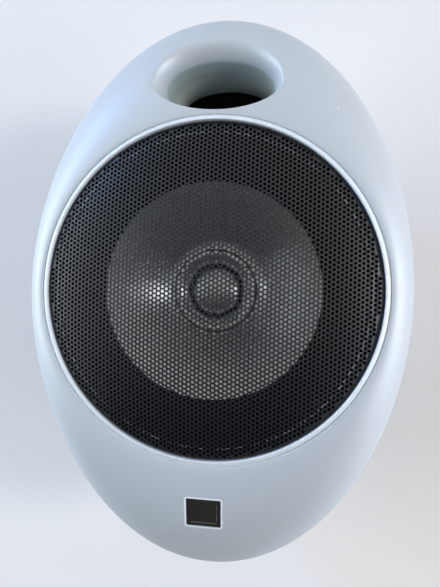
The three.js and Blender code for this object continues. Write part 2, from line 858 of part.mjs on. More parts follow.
function frontPlate() {
  return ring(gapRadius, magnetRadius, plateZ - plateThickness, plateZ, mediumFacets);
}

function ringMagnet() {
  return ring(gapRadius + magnetSetback, magnetRadius, magnetZ - magnetThickness, magnetZ, mediumFacets);
}

function yoke() {
  const bore = tweeterCupRadius + clearance;
  const top = plateZ;
  const floor = top - cupSink;
  const profile = [
    [0, yokeZ - plateThickness],
    [magnetRadius - 1, yokeZ - plateThickness],
    [magnetRadius - 1, yokeZ],
    [poleRadius, yokeZ],
    [poleRadius, top],
    [bore, top],
    [bore, floor],
    [0, floor],
  ];
  return revolve(profile, mediumFacets);
}

function buckingMagnet() {
  const high = yokeZ - plateThickness - bondLine;
  return disc(buckingMagnetRadius, high - buckingMagnetThickness, high, mediumFacets);
}

function shieldCan() {
  const inner = magnetRadius + clearance * 2;
  const floor = yokeZ - plateThickness - buckingMagnetThickness - 2 * bondLine;
  const top = plateZ - plateThickness / 2;
  const profile = [
    [0, floor - canWall],
    [inner + canWall, floor - canWall],
    [inner + canWall, top],
    [inner, top],
    [inner, floor],
    [0, floor],
  ];
  return revolve(profile, mediumFacets);
}

// Tag strip on the outside of a basket spoke, where the leads end.
const tagStripWidth = 24;
const tagStripHeight = 8;
const tagStripThickness = 1.6;
const tagStripZ = (flangeBottomZ + basketFloorZ) / 2;
const tagStripTop = (tagStripZ + tagStripHeight / 2 - basketFloorZ) / basketDepth;
const tagStripY = mix(basketFootRadius, basketMouthRadius, tagStripTop) + clearance / 2;

function tagStrip() {
  const y = tagStripY + tagStripThickness / 2;
  return block(tagStripWidth, tagStripThickness, tagStripHeight, 0, y, tagStripZ);
}

// ---- Tweeter, measured from the face plane ----

const cupFloorZ = plateZ - cupSink + bondLine;
const cupTopZ = cupFloorZ + tweeterCupHeight;
const cupWall = 1.7;
const cupBase = 3;
const domeZ = cupTopZ + 0.6;
const tweeterMagnetZ = cupFloorZ + cupBase + bondLine;
const poleDiscZ = tweeterMagnetZ + tweeterMagnetHeight + bondLine;

function tweeterCup() {
  const inner = tweeterCupRadius - cupWall;
  const lip = domeRadius + clearance;
  const profile = [
    [0, cupFloorZ],
    [tweeterCupRadius, cupFloorZ],
    [tweeterCupRadius, cupTopZ],
    [lip, cupTopZ],
    [lip, cupTopZ - 2],
    [inner, cupTopZ - 2],
    [inner, cupFloorZ + cupBase],
    [0, cupFloorZ + cupBase],
  ];
  return revolve(profile, smallFacets);
}

function tweeterDome() {
  const outer = [];
  const under = [];
  for (const share of steps(4)) {
    const turn = quarter * share;
    const z = domeZ + domeRise * Math.cos(turn);
    outer.push([domeRadius * Math.sin(turn), z]);
    under.unshift([(domeRadius - domeThickness) * Math.sin(turn), z - domeThickness]);
  }
  return revolve([...outer, ...under], smallFacets);
}

function tweeterSurround() {
  const inner = domeRadius + bondLine;
  const outer = domeRadius + domeSurroundWidth;
  const middle = (inner + outer) / 2;
  const thickness = 0.3;
  const low = domeZ - domeThickness + bondLine;
  const profile = [
    [inner, low],
    [middle, low + 0.5],
    [outer, low],
    [outer, low + thickness],
    [middle, low + 0.5 + thickness],
    [inner, low + thickness],
  ];
  return revolve(profile, smallFacets);
}

function tweeterCoil() {
  const top = domeZ - domeThickness - bondLine;
  const outer = domeRadius - clearance / 3;
  return ring(outer - tweeterCoilThickness, outer, top - tweeterCoilHeight, top, smallFacets);
}

// Ring round the dome: a small horn that fills the space inside the woofer's former.
function waveguide() {
  const throat = domeRadius + domeSurroundWidth + bondLine;
  const low = cupTopZ + bondLine;
  const high = low + waveguideHeight;
  const profile = [
    [throat, low],
    [waveguideRadius, low],
    [waveguideRadius, high],
    [waveguideRadius - 0.8, high + 0.3],
    [mix(throat, waveguideRadius, 0.35), mix(low, high, 0.6)],
    [throat, low + 1.2],
  ];
  return revolve(profile, mediumFacets);
}

// ---- Rear: terminal panel, binding posts, insert ----

const postX = postSpacing / 2;
const studTopZ = pocketFloor + studRise;
const collarZ = panelZ - bondLine;
const capTopZ = collarZ - collarHeight - capGap;

function terminalPanel() {
  const shape = roundedRectangle(
    pocketWidth - 2 * panelMargin,
    pocketHeight - 2 * panelMargin,
    pocketCorner - panelMargin / 2,
  );
  const through = panelThickness + 1;
  let panel = extrude(shape, panelThickness, 3);
  for (const side of [-1, 1]) {
    const pilot = panelScrewRadius + clearance;
    const [x, y] = [side * panelScrewX, side * panelScrewY];
    panel = panel.subtract(discAt(side * postX, 0, studRadius + clearance, -1, through, boreFacets));
    panel = panel.subtract(discAt(x, y, pilot, -1, through, boreFacets));
  }
  return panel;
}

function bindingStud() {
  return disc(studRadius, studTip, studTopZ, boreFacets);
}

function bindingCollar() {
  return ring(studRadius + bondLine, capRadius, collarZ - collarHeight, collarZ, smallFacets);
}

function bindingNut() {
  const shape = new THREE.Shape();
  const points = steps(6).slice(1).map((share) => {
    const angle = share * Math.PI * 2;
    return new THREE.Vector2(nutRadius * Math.cos(angle), nutRadius * Math.sin(angle));
  });
  shape.setFromPoints(points);
  const hole = new THREE.Path();
  hole.absarc(0, 0, studRadius + clearance, 0, Math.PI * 2, true);
  shape.holes.push(hole);
  return extrude(shape, nutHeight, boreFacets).translate([0, 0, pocketFloor + bondLine]);
}

// Brass thread sleeve inside the cap; it travels along the stud as the cap turns.
function capSleeve() {
  return ring(studRadius + clearance / 2, sleeveRadius, capTopZ - capLength + 1.5, capTopZ, smallFacets);
}

// Fluted thumb cap: a gear-like outline extruded along the stud.
function bindingCap() {
  const shape = new THREE.Shape();
  const points = [];
  for (let i = 0; i < capFlutes * 2; i += 1) {
    const angle = (i * Math.PI) / capFlutes;
    const radius = i % 2 ? capRadius - 0.7 : capRadius;
    points.push(new THREE.Vector2(radius * Math.cos(angle), radius * Math.sin(angle)));
  }
  shape.setFromPoints(points);
  const hole = new THREE.Path();
  hole.absarc(0, 0, sleeveRadius + clearance / 2, 0, Math.PI * 2, true);
  shape.holes.push(hole);
  return extrude(shape, capLength, smallFacets).translate([0, 0, capTopZ - capLength]);
}

function bracketInsert() {
  return ring(insertBore, insertRadius, bondLine * 2, insertLength, smallFacets);
}

// ---- Crossover ----

function crossoverBoard() {
  let board = block(boardWidth, boardLength, boardThickness, 0, boardY, boardHeight + boardThickness / 2);
  for (const [x, y] of boardPegs) {
    const hole = discAt(x, y, pegPinRadius + clearance, boardHeight - 1, boardTop + 1, boreFacets);
    board = board.subtract(hole);
  }
  return board;
}

const boardTop = boardHeight + boardThickness + bondLine;

function airCoreInductor() {
  return ring(airCoreBore, airCoreRadius, boardTop, boardTop + airCoreHeight, smallFacets);
}

function ferriteInductor() {
  const upper = bobbinHeight - bobbinFlange;
  const profile = [
    [0, 0],
    [bobbinRadius, 0],
    [bobbinRadius, bobbinFlange],
    [bobbinWaist, bobbinFlange],
    [bobbinWaist, upper],
    [bobbinRadius, upper],
    [bobbinRadius, bobbinHeight],
    [0, bobbinHeight],
  ];
  return revolve(profile, smallFacets).translate([0, 0, boardTop]);
}

function capacitor(radius, length) {
  return disc(radius, -length / 2, length / 2, smallFacets)
    .rotate([90, 0, 0])
    .translate([0, 0, boardTop + radius]);
}

// ---- Screws and wires ----

// Pan-head screw standing on z = 0, shank downwards.
function screw(radius, length) {
  const head = radius * 2;
  const crown = radius * 1.2;
  const profile = [[0, -length], [radius, -length + radius], [radius, 0], [head, 0]];
  profile.push([head, crown * 0.5], [head * 0.6, crown], [0, crown]);
  return revolve(profile, boreFacets);
}

// Insulated wire swept along a smooth curve through its points.
function wire(points) {
  const curve = new THREE.CatmullRomCurve3(points.map((point) => new THREE.Vector3(...point)));
  const section = new THREE.Shape();
  section.absarc(0, 0, wireRadius, 0, Math.PI * 2);
  const options = { extrudePath: curve, steps: 9, curveSegments: 6 };
  return toSolid(new THREE.ExtrudeGeometry(section, options));
}

const wireBend = 4 * wireRadius;

// From a binding post's stud, over the pocket wall, down to the board's edge.
function inputWire(side) {
  const boardEdge = boardY - boardLength / 2;
  return wire([
    [side * postX, pocketY, studTopZ + clearance],
    [side * postX, pocketY + wireBend * 0.3, studTopZ + wireBend],
    [side * wireBend * 2.2, pocketY + pocketHeight * 0.4, studTopZ + wireBend],
    [side * wireBend * 1.7, boardEdge - wireBend * 1.4, boardTop + wireBend * 3.3],
    [side * wireBend * 1.4, boardEdge + wireBend * 0.85, boardTop + wireBend],
    [side * wireBend * 1.4, boardEdge + wireBend, boardTop + bondLine],
  ]);
}

// From the board, up beside the magnet, to the tag strip on the basket.
function driverWire(side) {
  const boardEnd = boardY + boardLength / 2 - wireBend;
  const strip = tagStripY + tagStripThickness + bondLine;
  const stripZ = faceZ + tagStripZ;
  return wire([
    [side * boardWidth * 0.3, boardEnd, boardTop + bondLine],
    [side * boardWidth * 0.3, boardEnd + wireBend * 0.3, mix(boardTop, stripZ, 0.13)],
    [side * boardWidth * 0.28, boardEnd + wireBend * 1.4, mix(boardTop, stripZ, 0.4)],
    [side * boardWidth * 0.2, boardEnd + wireBend * 2.1, mix(boardTop, stripZ, 0.74)],
    [side * tagStripWidth / 3, strip + wireBend * 1.7, stripZ - wireBend / 2],
    [side * tagStripWidth / 3, strip + clearance, stripZ],
  ]);
}

const cabinet = group(speaker, 0);
addPiece(cabinet, "front_shell", frontShell(), "silverPaint");
addPiece(cabinet, "rear_shell", rearShell(), "silverPaint");
addPiece(cabinet, "seam_seal", seamSeal(), "rubber");
addPiece(cabinet, "cabinet_lining", lining(), "felt");
addPiece(cabinet, "port_tube", portTube(), "blackPlastic");
addPiece(cabinet, "trim_ring", trimRing(), "chromeBead");
addPiece(cabinet, "grille", grille(), "blackSteel");
addPiece(cabinet, "bracket_insert", bracketInsert(), "brass");
const badge = addPiece(cabinet, "badge_plate", badgePlate(), "glossBlack");
badge.position.set(0, badgeY, skinHeight(0, badgeY));
badge.rotation.x = badgeSlope;
badge.translateZ(-badgeFloor + bondLine);

const driver = group(speaker, faceZ);
addPiece(driver, "basket", basket(), "castAlloy");
addPiece(driver, "basket_gasket", basketGasket(), "rubber");
addPiece(driver, "cone", cone(), "silverCone");
addPiece(driver, "surround", surround(), "rubber");
addPiece(driver, "spider", spider(), "doped");
addPiece(driver, "voice_coil_former", former(), "kapton");
addPiece(driver, "voice_coil_winding", winding(), "copper");
addPiece(driver, "front_plate", frontPlate(), "zincSteel");
addPiece(driver, "ring_magnet", ringMagnet(), "ferrite");
addPiece(driver, "yoke", yoke(), "zincSteel");
addPiece(driver, "bucking_magnet", buckingMagnet(), "ferrite");
addPiece(driver, "shield_can", shieldCan(), "zincSteel");
addPiece(driver, "tag_strip", tagStrip(), "cement");

const tweeter = new THREE.Group();
driver.add(tweeter);
addPiece(tweeter, "tweeter_cup", tweeterCup(), "zincSteel");
const tweeterMagnet = disc(tweeterMagnetRadius, 0, tweeterMagnetHeight, smallFacets);
addPiece(tweeter, "tweeter_magnet", tweeterMagnet, "ferrite", 0, 0, tweeterMagnetZ);
const poleDisc = disc(tweeterMagnetRadius + poleDiscOverhang, 0, poleDiscHeight, smallFacets);
addPiece(tweeter, "tweeter_pole_disc", poleDisc, "zincSteel", 0, 0, poleDiscZ);
addPiece(tweeter, "tweeter_coil", tweeterCoil(), "copper");
addPiece(tweeter, "tweeter_dome", tweeterDome(), "silverCone");
addPiece(tweeter, "tweeter_surround", tweeterSurround(), "rubber");
addPiece(tweeter, "tweeter_waveguide", waveguide(), "silverCone");

const terminals = new THREE.Group();
terminals.position.y = pocketY;
speaker.add(terminals);
addPiece(terminals, "terminal_panel", terminalPanel(), "blackPlastic", 0, 0, panelZ);
for (const [side, x, finish] of [["left", -postX, "redPlastic"], ["right", postX, "blackPlastic"]]) {
  addPiece(terminals, `stud_${side}`, bindingStud(), "brass", x);
  addPiece(terminals, `collar_${side}`, bindingCollar(), finish, x);
  addPiece(terminals, `nut_${side}`, bindingNut(), "zincSteel", x);
  addPiece(terminals, `sleeve_${side}`, capSleeve(), "brass", x);
  addPiece(terminals, `cap_${side}`, bindingCap(), finish, x);
  const corner = Math.sign(x);
  const fixing = screw(panelScrewRadius, panelScrewLength);
  const panelScrew = addPiece(terminals, `panel_screw_${side}`, fixing, "zincSteel");
  panelScrew.rotation.x = Math.PI;
  panelScrew.position.set(corner * panelScrewX, corner * panelScrewY, panelZ - bondLine);
}

// A crossover part stands at shares of the board's width and length from its middle.
const crossover = group(speaker, 0);
function addOnBoard(name, solid, finish, across, along) {
  addPiece(crossover, name, solid, finish, boardWidth * across, boardY + boardLength * along);
}
const largeCapacitor = capacitor(largeCapacitorRadius, largeCapacitorLength);
const smallCapacitor = capacitor(smallCapacitorRadius, smallCapacitorLength);
const resistorZ = boardTop + resistorWidth / 2;
const resistor = block(resistorWidth, resistorLength, resistorWidth, 0, 0, resistorZ);
addPiece(crossover, "crossover_board", crossoverBoard(), "circuitBoard");
addOnBoard("air_core_inductor", airCoreInductor(), "copper", -0.2, 0.21);
addOnBoard("ferrite_inductor", ferriteInductor(), "copper", 0.24, -0.19);
addOnBoard("capacitor_large", largeCapacitor, "capacitorSleeve", 0.24, 0.19);
addOnBoard("capacitor_small", smallCapacitor, "capacitorSleeve", -0.035, -0.19);
addOnBoard("ballast_resistor", resistor, "cement", -0.26, -0.21);

for (const [side, sign, finish] of [["left", -1, "redPlastic"], ["right", 1, "blackPlastic"]]) {
  addPiece(crossover, `input_wire_${side}`, inputWire(sign), finish);
  addPiece(crossover, `driver_wire_${side}`, driverWire(sign), finish);
}

driverScrewPlaces().forEach(([x, y], i) => {
  const name = `driver_screw_${i + 1}`;
  const fixing = screw(driverScrewRadius, driverScrewLength);
  addPiece(driver, name, fixing, "zincSteel", x, y, flangeTopZ + bondLine);
});
cabinetScrewPlaces().forEach(([x, y], i) => {
  const name = `cabinet_screw_${i + 1}`;
  const fixing = addPiece(cabinet, name, screw(cabinetScrewRadius, cabinetScrewLength), "zincSteel");
  fixing.rotation.x = Math.PI;
  fixing.position.set(x, y, screwSeatZ - bondLine);
});

export default speaker;
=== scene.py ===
# Egg-shaped satellite loudspeaker: its fine surfaces and finishes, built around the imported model.
# Shapes are worked out in millimetres and stored in metres.
import json
import math

import bmesh
import bpy
import numpy as np
from mathutils import Matrix, Vector
from mathutils.geometry import delaunay_2d_cdt


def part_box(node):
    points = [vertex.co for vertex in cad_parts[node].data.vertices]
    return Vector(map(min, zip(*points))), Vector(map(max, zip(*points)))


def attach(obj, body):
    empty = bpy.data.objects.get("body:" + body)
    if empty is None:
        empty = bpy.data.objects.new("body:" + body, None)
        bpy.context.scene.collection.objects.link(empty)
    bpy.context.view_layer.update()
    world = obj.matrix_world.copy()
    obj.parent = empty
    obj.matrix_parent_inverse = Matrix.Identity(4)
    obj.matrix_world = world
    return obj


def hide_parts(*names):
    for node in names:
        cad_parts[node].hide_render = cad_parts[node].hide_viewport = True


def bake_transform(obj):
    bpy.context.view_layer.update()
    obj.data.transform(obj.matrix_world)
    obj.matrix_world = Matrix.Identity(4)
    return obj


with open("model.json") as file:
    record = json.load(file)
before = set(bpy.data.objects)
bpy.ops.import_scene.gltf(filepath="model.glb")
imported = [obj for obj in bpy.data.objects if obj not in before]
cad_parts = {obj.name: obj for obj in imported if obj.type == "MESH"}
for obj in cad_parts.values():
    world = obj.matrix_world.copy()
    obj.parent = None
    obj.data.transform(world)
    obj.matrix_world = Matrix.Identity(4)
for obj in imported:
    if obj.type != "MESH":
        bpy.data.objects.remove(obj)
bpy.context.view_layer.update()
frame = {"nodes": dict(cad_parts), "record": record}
scene = bpy.context.scene
mm = 0.001
tiny = 1e-7
mergeDistance = 1e-6  # metres
quarter = math.pi / 2


def cadSize(node):  # lowest and highest corner of a CAD node, in millimetres
    low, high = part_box(node)
    return low / mm, high / mm


halfWidth, halfLength, faceZ = cadSize("front_shell")[1]
seamZ = cadSize("rear_shell")[1].z

# Node trees.


class Signal:  # a node's output, so that sums on it read as sums
    def __init__(self, net, socket):
        self.net = net
        self.socket = socket

    def calc(self, operation, *values):
        return self.net.calc(operation, self, *values)

    def __add__(self, other):
        return self.calc("ADD", other)

    def __radd__(self, other):
        return self.calc("ADD", other)

    def __sub__(self, other):
        return self.calc("SUBTRACT", other)

    def __rsub__(self, other):
        return self.net.calc("SUBTRACT", other, self)

    def __mul__(self, other):
        return self.calc("MULTIPLY", other)

    def __rmul__(self, other):
        return self.calc("MULTIPLY", other)

    def __truediv__(self, other):
        return self.calc("DIVIDE", other)

    def __pow__(self, other):
        return self.calc("POWER", other)

    def __gt__(self, other):
        return self.calc("GREATER_THAN", other)


class Net:  # one node tree
    def __init__(self, tree):
        self.tree = tree

    def plug(self, socket, value):
        if isinstance(value, (list, tuple)) and value and isinstance(value[0], Signal):
            for each in value:
                self.tree.links.new(each.socket, socket)
        elif isinstance(value, Signal):
            self.tree.links.new(value.socket, socket)
        else:
            socket.default_value = value

    def node(self, kind, settings=None, inputs=None, output=0):
        made = self.tree.nodes.new(kind)
        for key, value in (settings or {}).items():
            setattr(made, key, value)
        for key, value in (inputs or {}).items():
            self.plug(made.inputs[key], value)
        return Signal(self, made.outputs[output])

    def calc(self, operation, *values):
        return self.node("ShaderNodeMath", {"operation": operation}, dict(enumerate(values)))

    def parts(self, vector):  # x, y and z of a vector
        return [self.node("ShaderNodeSeparateXYZ", {}, {0: vector}, axis) for axis in range(3)]

    def vector(self, x, y, z):
        return self.node("ShaderNodeCombineXYZ", {}, {0: x, 1: y, 2: z})


shaderSockets = {
    "colour": "Base Color",
    "coat": "Coat Weight",
    "coatRoughness": "Coat Roughness",
    "specular": "Specular IOR Level",
    "turn": "Anisotropic Rotation",
}


class Finish(Net):  # a material; its constants go straight onto the shader's sockets
    def __init__(self, name, **constants):
        self.material = bpy.data.materials.new(name)
        self.material.use_nodes = True
        super().__init__(self.material.node_tree)
        self.shader = self.tree.nodes["Principled BSDF"]
        for key, value in constants.items():
            self.set(key, value)

    def set(self, key, value):
        self.plug(self.shader.inputs[shaderSockets.get(key, key.capitalize())], value)

    def place(self):  # a point on the piece, in metres
        return self.node("ShaderNodeTexCoord", output="Object")

    def noise(self, size, detail=2.0, stretch=None):  # size of one blotch in millimetres
        place = self.place()
        if stretch:
            place = self.node("ShaderNodeMapping", {}, {"Vector": place, "Scale": stretch})
        inputs = {"Vector": place, "Scale": 1 / (size * mm), "Detail": detail}
        return self.node("ShaderNodeTexNoise", {}, inputs)

    def blend(self, share, first, second):
        inputs = {"Factor": share, 6: first, 7: second}
        return self.node("ShaderNodeMix", {"data_type": "RGBA"}, inputs, 2)

    def fade(self, value, low, high, start=0.0, end=1.0):
        inputs = {"Value": value, 1: low, 2: high, 3: start, 4: end}
        return self.node("ShaderNodeMapRange", {"clamp": True}, inputs)

    def bump(self, height, depth, strength=1.0):  # depth in millimetres
        inputs = {"Height": height, "Distance": depth * mm, "Strength": strength}
        self.set("normal", self.node("ShaderNodeBump", {}, inputs))


def rgb(red, green, blue):  # display colour, 0 to 255, as a scene colour
    values = [channel / 255 for channel in (red, green, blue)]
    return (*[v / 12.92 if v <= 0.04045 else ((v + 0.055) / 1.055) ** 2.4 for v in values], 1)


def shade(colour, factor):
    return (*[channel * factor for channel in colour[:3]], 1)


paint = {
    "colour": rgb(189, 196, 201),
    "metallic": 0.2,
    "roughness": 0.5,
    "flake": 0.25,  # size of the metal flakes, mm
    "flakeContrast": 0.05,
    "cloud": 45,  # size of the soft blotches, mm
    "cloudContrast": 0.05,
    "cloudRoughness": 0.12,
    "peel": 1.1,  # orange peel, mm
    "peelDepth": 0.01,
    "peelStrength": 0.35,
}
dust = {
    "colour": rgb(244, 244, 246),
    "share": 0.018,  # share of the cells that carry a speck
    "cell": 2.1,  # mm
    "core": 0.08,  # a speck's solid and faded radius, in cells
    "rim": 0.16,
    "cover": 0.8,
    "roughness": 0.3,
}


def dustSpecks(finish):
    inputs = {"Vector": finish.place(), "Scale": 1 / (dust["cell"] * mm)}
    near = finish.node("ShaderNodeTexVoronoi", {"feature": "F1"}, inputs)
    chance = finish.node("ShaderNodeTexVoronoi", {"feature": "F1"}, inputs, "Color")
    pick = finish.parts(chance)[0]
    return finish.fade(near, dust["core"], dust["rim"], 1, 0) * (1 - (pick > dust["share"]))


def orangePeel(finish):
    finish.bump(finish.noise(paint["peel"], 1), paint["peelDepth"], paint["peelStrength"])


def paintFinish():
    finish = Finish("silver_paint_coat", metallic=paint["metallic"])
    flake = finish.noise(paint["flake"], 0)
    cloud = finish.noise(paint["cloud"], 3)
    tone = 1 + (flake - 0.5) * paint["flakeContrast"] * 2 + (cloud - 0.5) * paint["cloudContrast"]
    inputs = {0: paint["colour"][:3], "Scale": tone}
    colour = finish.node("ShaderNodeVectorMath", {"operation": "SCALE"}, inputs)
    specks = dustSpecks(finish) * dust["cover"]
    finish.set("colour", finish.blend(specks, colour, dust["colour"]))
    uneven = (cloud - 0.5) * paint["cloudRoughness"] + specks * dust["roughness"]
    finish.set("roughness", paint["roughness"] + uneven)
    orangePeel(finish)
    return finish.material


moulding = {  # how moulded and sprayed surfaces vary
    "cloud": 9,  # size of the soft blotches, mm
    "spread": 0.14,  # how far a blotch's colour strays
    "patch": 2.5,  # size of duller and shinier patches, mm
    "patchRoughness": 0.14,
    "grainDepth": 0.02,
    "grainStrength": 0.4,
}


def mottled(finish, cloud, colour):
    spread = moulding["spread"]
    return finish.blend(cloud, shade(colour, 1 - spread), shade(colour, 1 + spread))


def grained(finish, roughness, grain):  # patchy gloss and a fine grain
    patch = finish.noise(moulding["patch"], 2)
    finish.set("roughness", roughness + (patch - 0.5) * moulding["patchRoughness"])
    finish.bump(finish.noise(grain, 2), moulding["grainDepth"], moulding["grainStrength"])


def plasticFinish(name, colour, roughness, grain=0.35, coat=0.0, specular=0.5):
    finish = Finish(name, coat=coat, coatRoughness=0.1, specular=specular)
    finish.set("colour", mottled(finish, finish.noise(moulding["cloud"], 3), colour))
    grained(finish, roughness, grain)
    return finish.material


grilleCoat = {
    "colour": rgb(13, 18, 21),
    "roughness": 0.46,
    "specular": 0.5,
    "grain": 0.12,
    "fold": 49.3,  # radius of the crease, along which a lighter line is painted as a highlight
    "foldWidth": 0.26,
    "foldCore": 0.4,  # share of that width that is painted evenly light
    # painted highlight: the lighter colour laid along the crease in place of glints off the fold
    "creaseHighlight": rgb(104, 111, 116),
    "gaps": [(14, 2, 0.58), (1.6, 1, 0.55)],  # size in mm, detail, and where the painted highlight is full
    "gapFrom": 0.4,
}


def grilleFinish():  # powder coat, with a painted highlight along the crease: a lighter line, broken here and there, that stands in for glints of light off the fold
    finish = Finish("powder_coat", specular=grilleCoat["specular"])
    place = finish.parts(finish.place())
    radius = finish.calc("SQRT", place[0] * place[0] + place[1] * place[1])
    off = finish.calc("ABSOLUTE", radius - grilleCoat["fold"] * mm)
    width = grilleCoat["foldWidth"]
    # painted highlight: a lighter line along the crease, broken into dots
    glintLine = finish.fade(off, grilleCoat["foldCore"] * width * mm, width * mm, 1, 0)
    for size, detail, full in grilleCoat["gaps"]:
        glintLine = glintLine * finish.fade(finish.noise(size, detail), grilleCoat["gapFrom"], full)
    coat = mottled(finish, finish.noise(moulding["cloud"], 3), grilleCoat["colour"])
    finish.set("colour", finish.blend(glintLine, coat, grilleCoat["creaseHighlight"]))
    grained(finish, grilleCoat["roughness"], grilleCoat["grain"])
    return finish.material


metalwork = {
    "cloud": 6,  # size of the soft blotches, mm
    "darkest": 0.9,
    "lightest": 1.06,
    "line": 0.4,  # width of tool marks, mm
    "lineRoughness": 0.4,
    "lineDepth": 0.008,
    "turn": 0.25,  # quarter turn, so that gloss spreads outwards on turned parts
}


def metalFinish(name, colour, roughness, stretch=None, metallic=1.0, relief=0.4, anisotropic=0.0):
    finish = Finish(name, metallic=metallic, anisotropic=anisotropic, turn=metalwork["turn"])
    cloud = finish.noise(metalwork["cloud"], 3)
    dark, light = shade(colour, metalwork["darkest"]), shade(colour, metalwork["lightest"])
    finish.set("colour", finish.blend(cloud, dark, light))
    lines = finish.noise(metalwork["line"], 2, stretch)
    finish.set("roughness", roughness + (lines - 0.5) * metalwork["lineRoughness"] * relief)
    finish.bump(lines, metalwork["lineDepth"], relief)
    return finish.material


cloth = {
    "colour": rgb(176, 128, 52),
    "thread": 0.5,  # mm
    "cloud": 7,
    "darkest": 0.6,
    "lightest": 1.2,
    "roughness": 0.85,
    "roughSpread": 0.2,
    "depth": 0.1,
    "strength": 0.6,
}


def clothFinish():
    finish = Finish("doped_weave")
    place = finish.parts(finish.place())
    turn = 2 * math.pi / (cloth["thread"] * mm)
    across = finish.calc("SINE", place[0] * turn)
    along = finish.calc("SINE", place[1] * turn)
    weave = across * along * 0.5 + 0.5
    cloud = finish.noise(cloth["cloud"], 3)
    dark, light = (shade(cloth["colour"], cloth[key]) for key in ("darkest", "lightest"))
    finish.set("colour", finish.blend(weave * 0.5 + cloud * 0.5, dark, light))
    finish.set("roughness", cloth["roughness"] + (cloud - 0.5) * cloth["roughSpread"])
    finish.bump(weave, cloth["depth"], cloth["strength"])
    return finish.material


felt = {
    "colour": rgb(58, 58, 60),
    "fibre": 0.3,  # mm
    "stretch": (1, 6, 1),
    "darkest": 0.5,
    "lightest": 1.5,
    "roughness": 0.9,
    "roughSpread": 0.1,
    "depth": 0.3,
    "strength": 0.8,
}


def feltFinish():
    finish = Finish("grey_felt")
    fibre = finish.noise(felt["fibre"], 4, felt["stretch"])
    dark, light = (shade(felt["colour"], felt[key]) for key in ("darkest", "lightest"))
    finish.set("colour", finish.blend(fibre, dark, light))
    finish.set("roughness", felt["roughness"] + (fibre - 0.5) * felt["roughSpread"])
    finish.bump(fibre, felt["depth"], felt["strength"])
    return finish.material


throat = {  # heights in metres above the rear land
    "sprayLow": 0.0972,  # the paint thins out between these
    "sprayHigh": 0.0986,
    "sprayEdge": 0.0008,
    "sprayDot": 0.5,  # mm
    "bare": rgb(136, 147, 145),
    "bareRoughness": 0.6,
    "paintedLightLift": 1.25,  # painted light: the bare moulding is made lighter by this beside the paint, to offset the shade inside the port
    # painted light: the lighter grey the tube turns to lower down, to offset the shade deeper in
    # the port
    "low": rgb(205, 212, 208),
    "paintedLightLow": 0.08,
    "paintedLightHigh": 0.094,
    "dark": rgb(30, 31, 33),
    "darkBelow": 0.074,
    "darkEdge": 0.001,
    "darkWander": 0.002,
    "grain": 0.35,
}


def throatFinish():  # paint that thins out down the port, over the bare moulding, which is painted lighter there to offset the shade
    finish = Finish("port_overspray")
    height = finish.parts(finish.place())[2]
    spray = finish.noise(throat["sprayDot"], 3)
    wander = (spray - 0.5) * throat["sprayEdge"]
    cover = finish.fade(height + wander, throat["sprayLow"], throat["sprayHigh"])
    # painted light: the bare colour lifted to offset the shade in the port
    bare = shade(throat["bare"], throat["paintedLightLift"])
    finish.set("colour", finish.blend(cover, bare, paint["colour"]))
    finish.set("metallic", cover * paint["metallic"])
    rough = throat["bareRoughness"]
    finish.set("roughness", rough - cover * (rough - paint["roughness"]))
    orangePeel(finish)
    return finish.material


def tubeFinish():  # grey where the spray reached, painted lighter lower down to offset the shade deeper in the port, and black further down
    finish = Finish("tube_moulding")
    cloud = finish.noise(moulding["cloud"], 3)
    height = finish.parts(finish.place())[2] + (cloud - 0.5) * throat["darkWander"]
    edge = throat["darkEdge"]
    reach = finish.fade(height, throat["darkBelow"] - edge, throat["darkBelow"] + edge)
    # painted light: lighter lower down, to offset the shade deeper in the port
    higher = finish.fade(height, throat["paintedLightLow"], throat["paintedLightHigh"])
    grey = finish.blend(higher, throat["low"], throat["bare"])
    finish.set("colour", finish.blend(reach, throat["dark"], grey))
    uneven = (cloud - 0.5) * moulding["patchRoughness"]
    finish.set("roughness", throat["bareRoughness"] + uneven)
    grain = finish.noise(throat["grain"], 2)
    finish.bump(grain, moulding["grainDepth"], moulding["grainStrength"])
    return finish.material


finishes = {
    "silver_paint": paintFinish(),
    "chrome_bead": metalFinish("bead_paint", rgb(222, 229, 235), 0.55, metallic=0.1, relief=0.1),
    "black_steel": grilleFinish(),
    "black_plastic": plasticFinish("black_moulding", rgb(27, 28, 30), 0.5),
    "red_plastic": plasticFinish("red_moulding", rgb(150, 24, 22), 0.45),
    # painted reflection: the plate's black is lifted and tinted olive, standing in for what its
    # gloss reflects
    "gloss_black": plasticFinish("gloss_black_plate", rgb(36, 36, 30), 0.16, 1.4, 1.0),
    # partly the rubber's own black, partly painted shade: darkened for the little light that
    # reaches under the grille
    "rubber": plasticFinish("rubber_roll", rgb(8, 8, 9), 0.7, 0.5, specular=0.2),
    "silver_cone": metalFinish(
        "cone_silver", rgb(238, 241, 242), 0.3, relief=0.02, anisotropic=0.6
    ),
    # painted shade: the casting made near black for the little light that reaches under the grille
    "cast_alloy": plasticFinish("cast_alloy_coat", rgb(11, 11, 12), 0.66, 0.5, specular=0.2),
    "doped_cloth": clothFinish(),
    "kapton": plasticFinish("kapton_film", rgb(46, 36, 30), 0.4, 0.6),
    "copper": metalFinish("copper_winding", rgb(190, 110, 60), 0.35, (1, 1, 12)),
    "zinc_steel": metalFinish("zinc_plate", rgb(168, 171, 172), 0.36, (1, 9, 1)),
    "ferrite": plasticFinish("ferrite_grit", rgb(44, 44, 46), 0.75, 0.4),
    "brass": metalFinish("brass_turned", rgb(196, 164, 84), 0.3, (1, 1, 14)),
    "circuit_board": plasticFinish("board_lacquer", rgb(40, 88, 50), 0.4, 1.5, 0.4),
    "capacitor_sleeve": plasticFinish("sleeve_film", rgb(38, 52, 98), 0.3, 2.0, 0.3),
    "cement": plasticFinish("cement_body", rgb(214, 210, 198), 0.85, 0.4),
    "felt": feltFinish(),
}
throatPaint = throatFinish()
tubeGrey = tubeFinish()
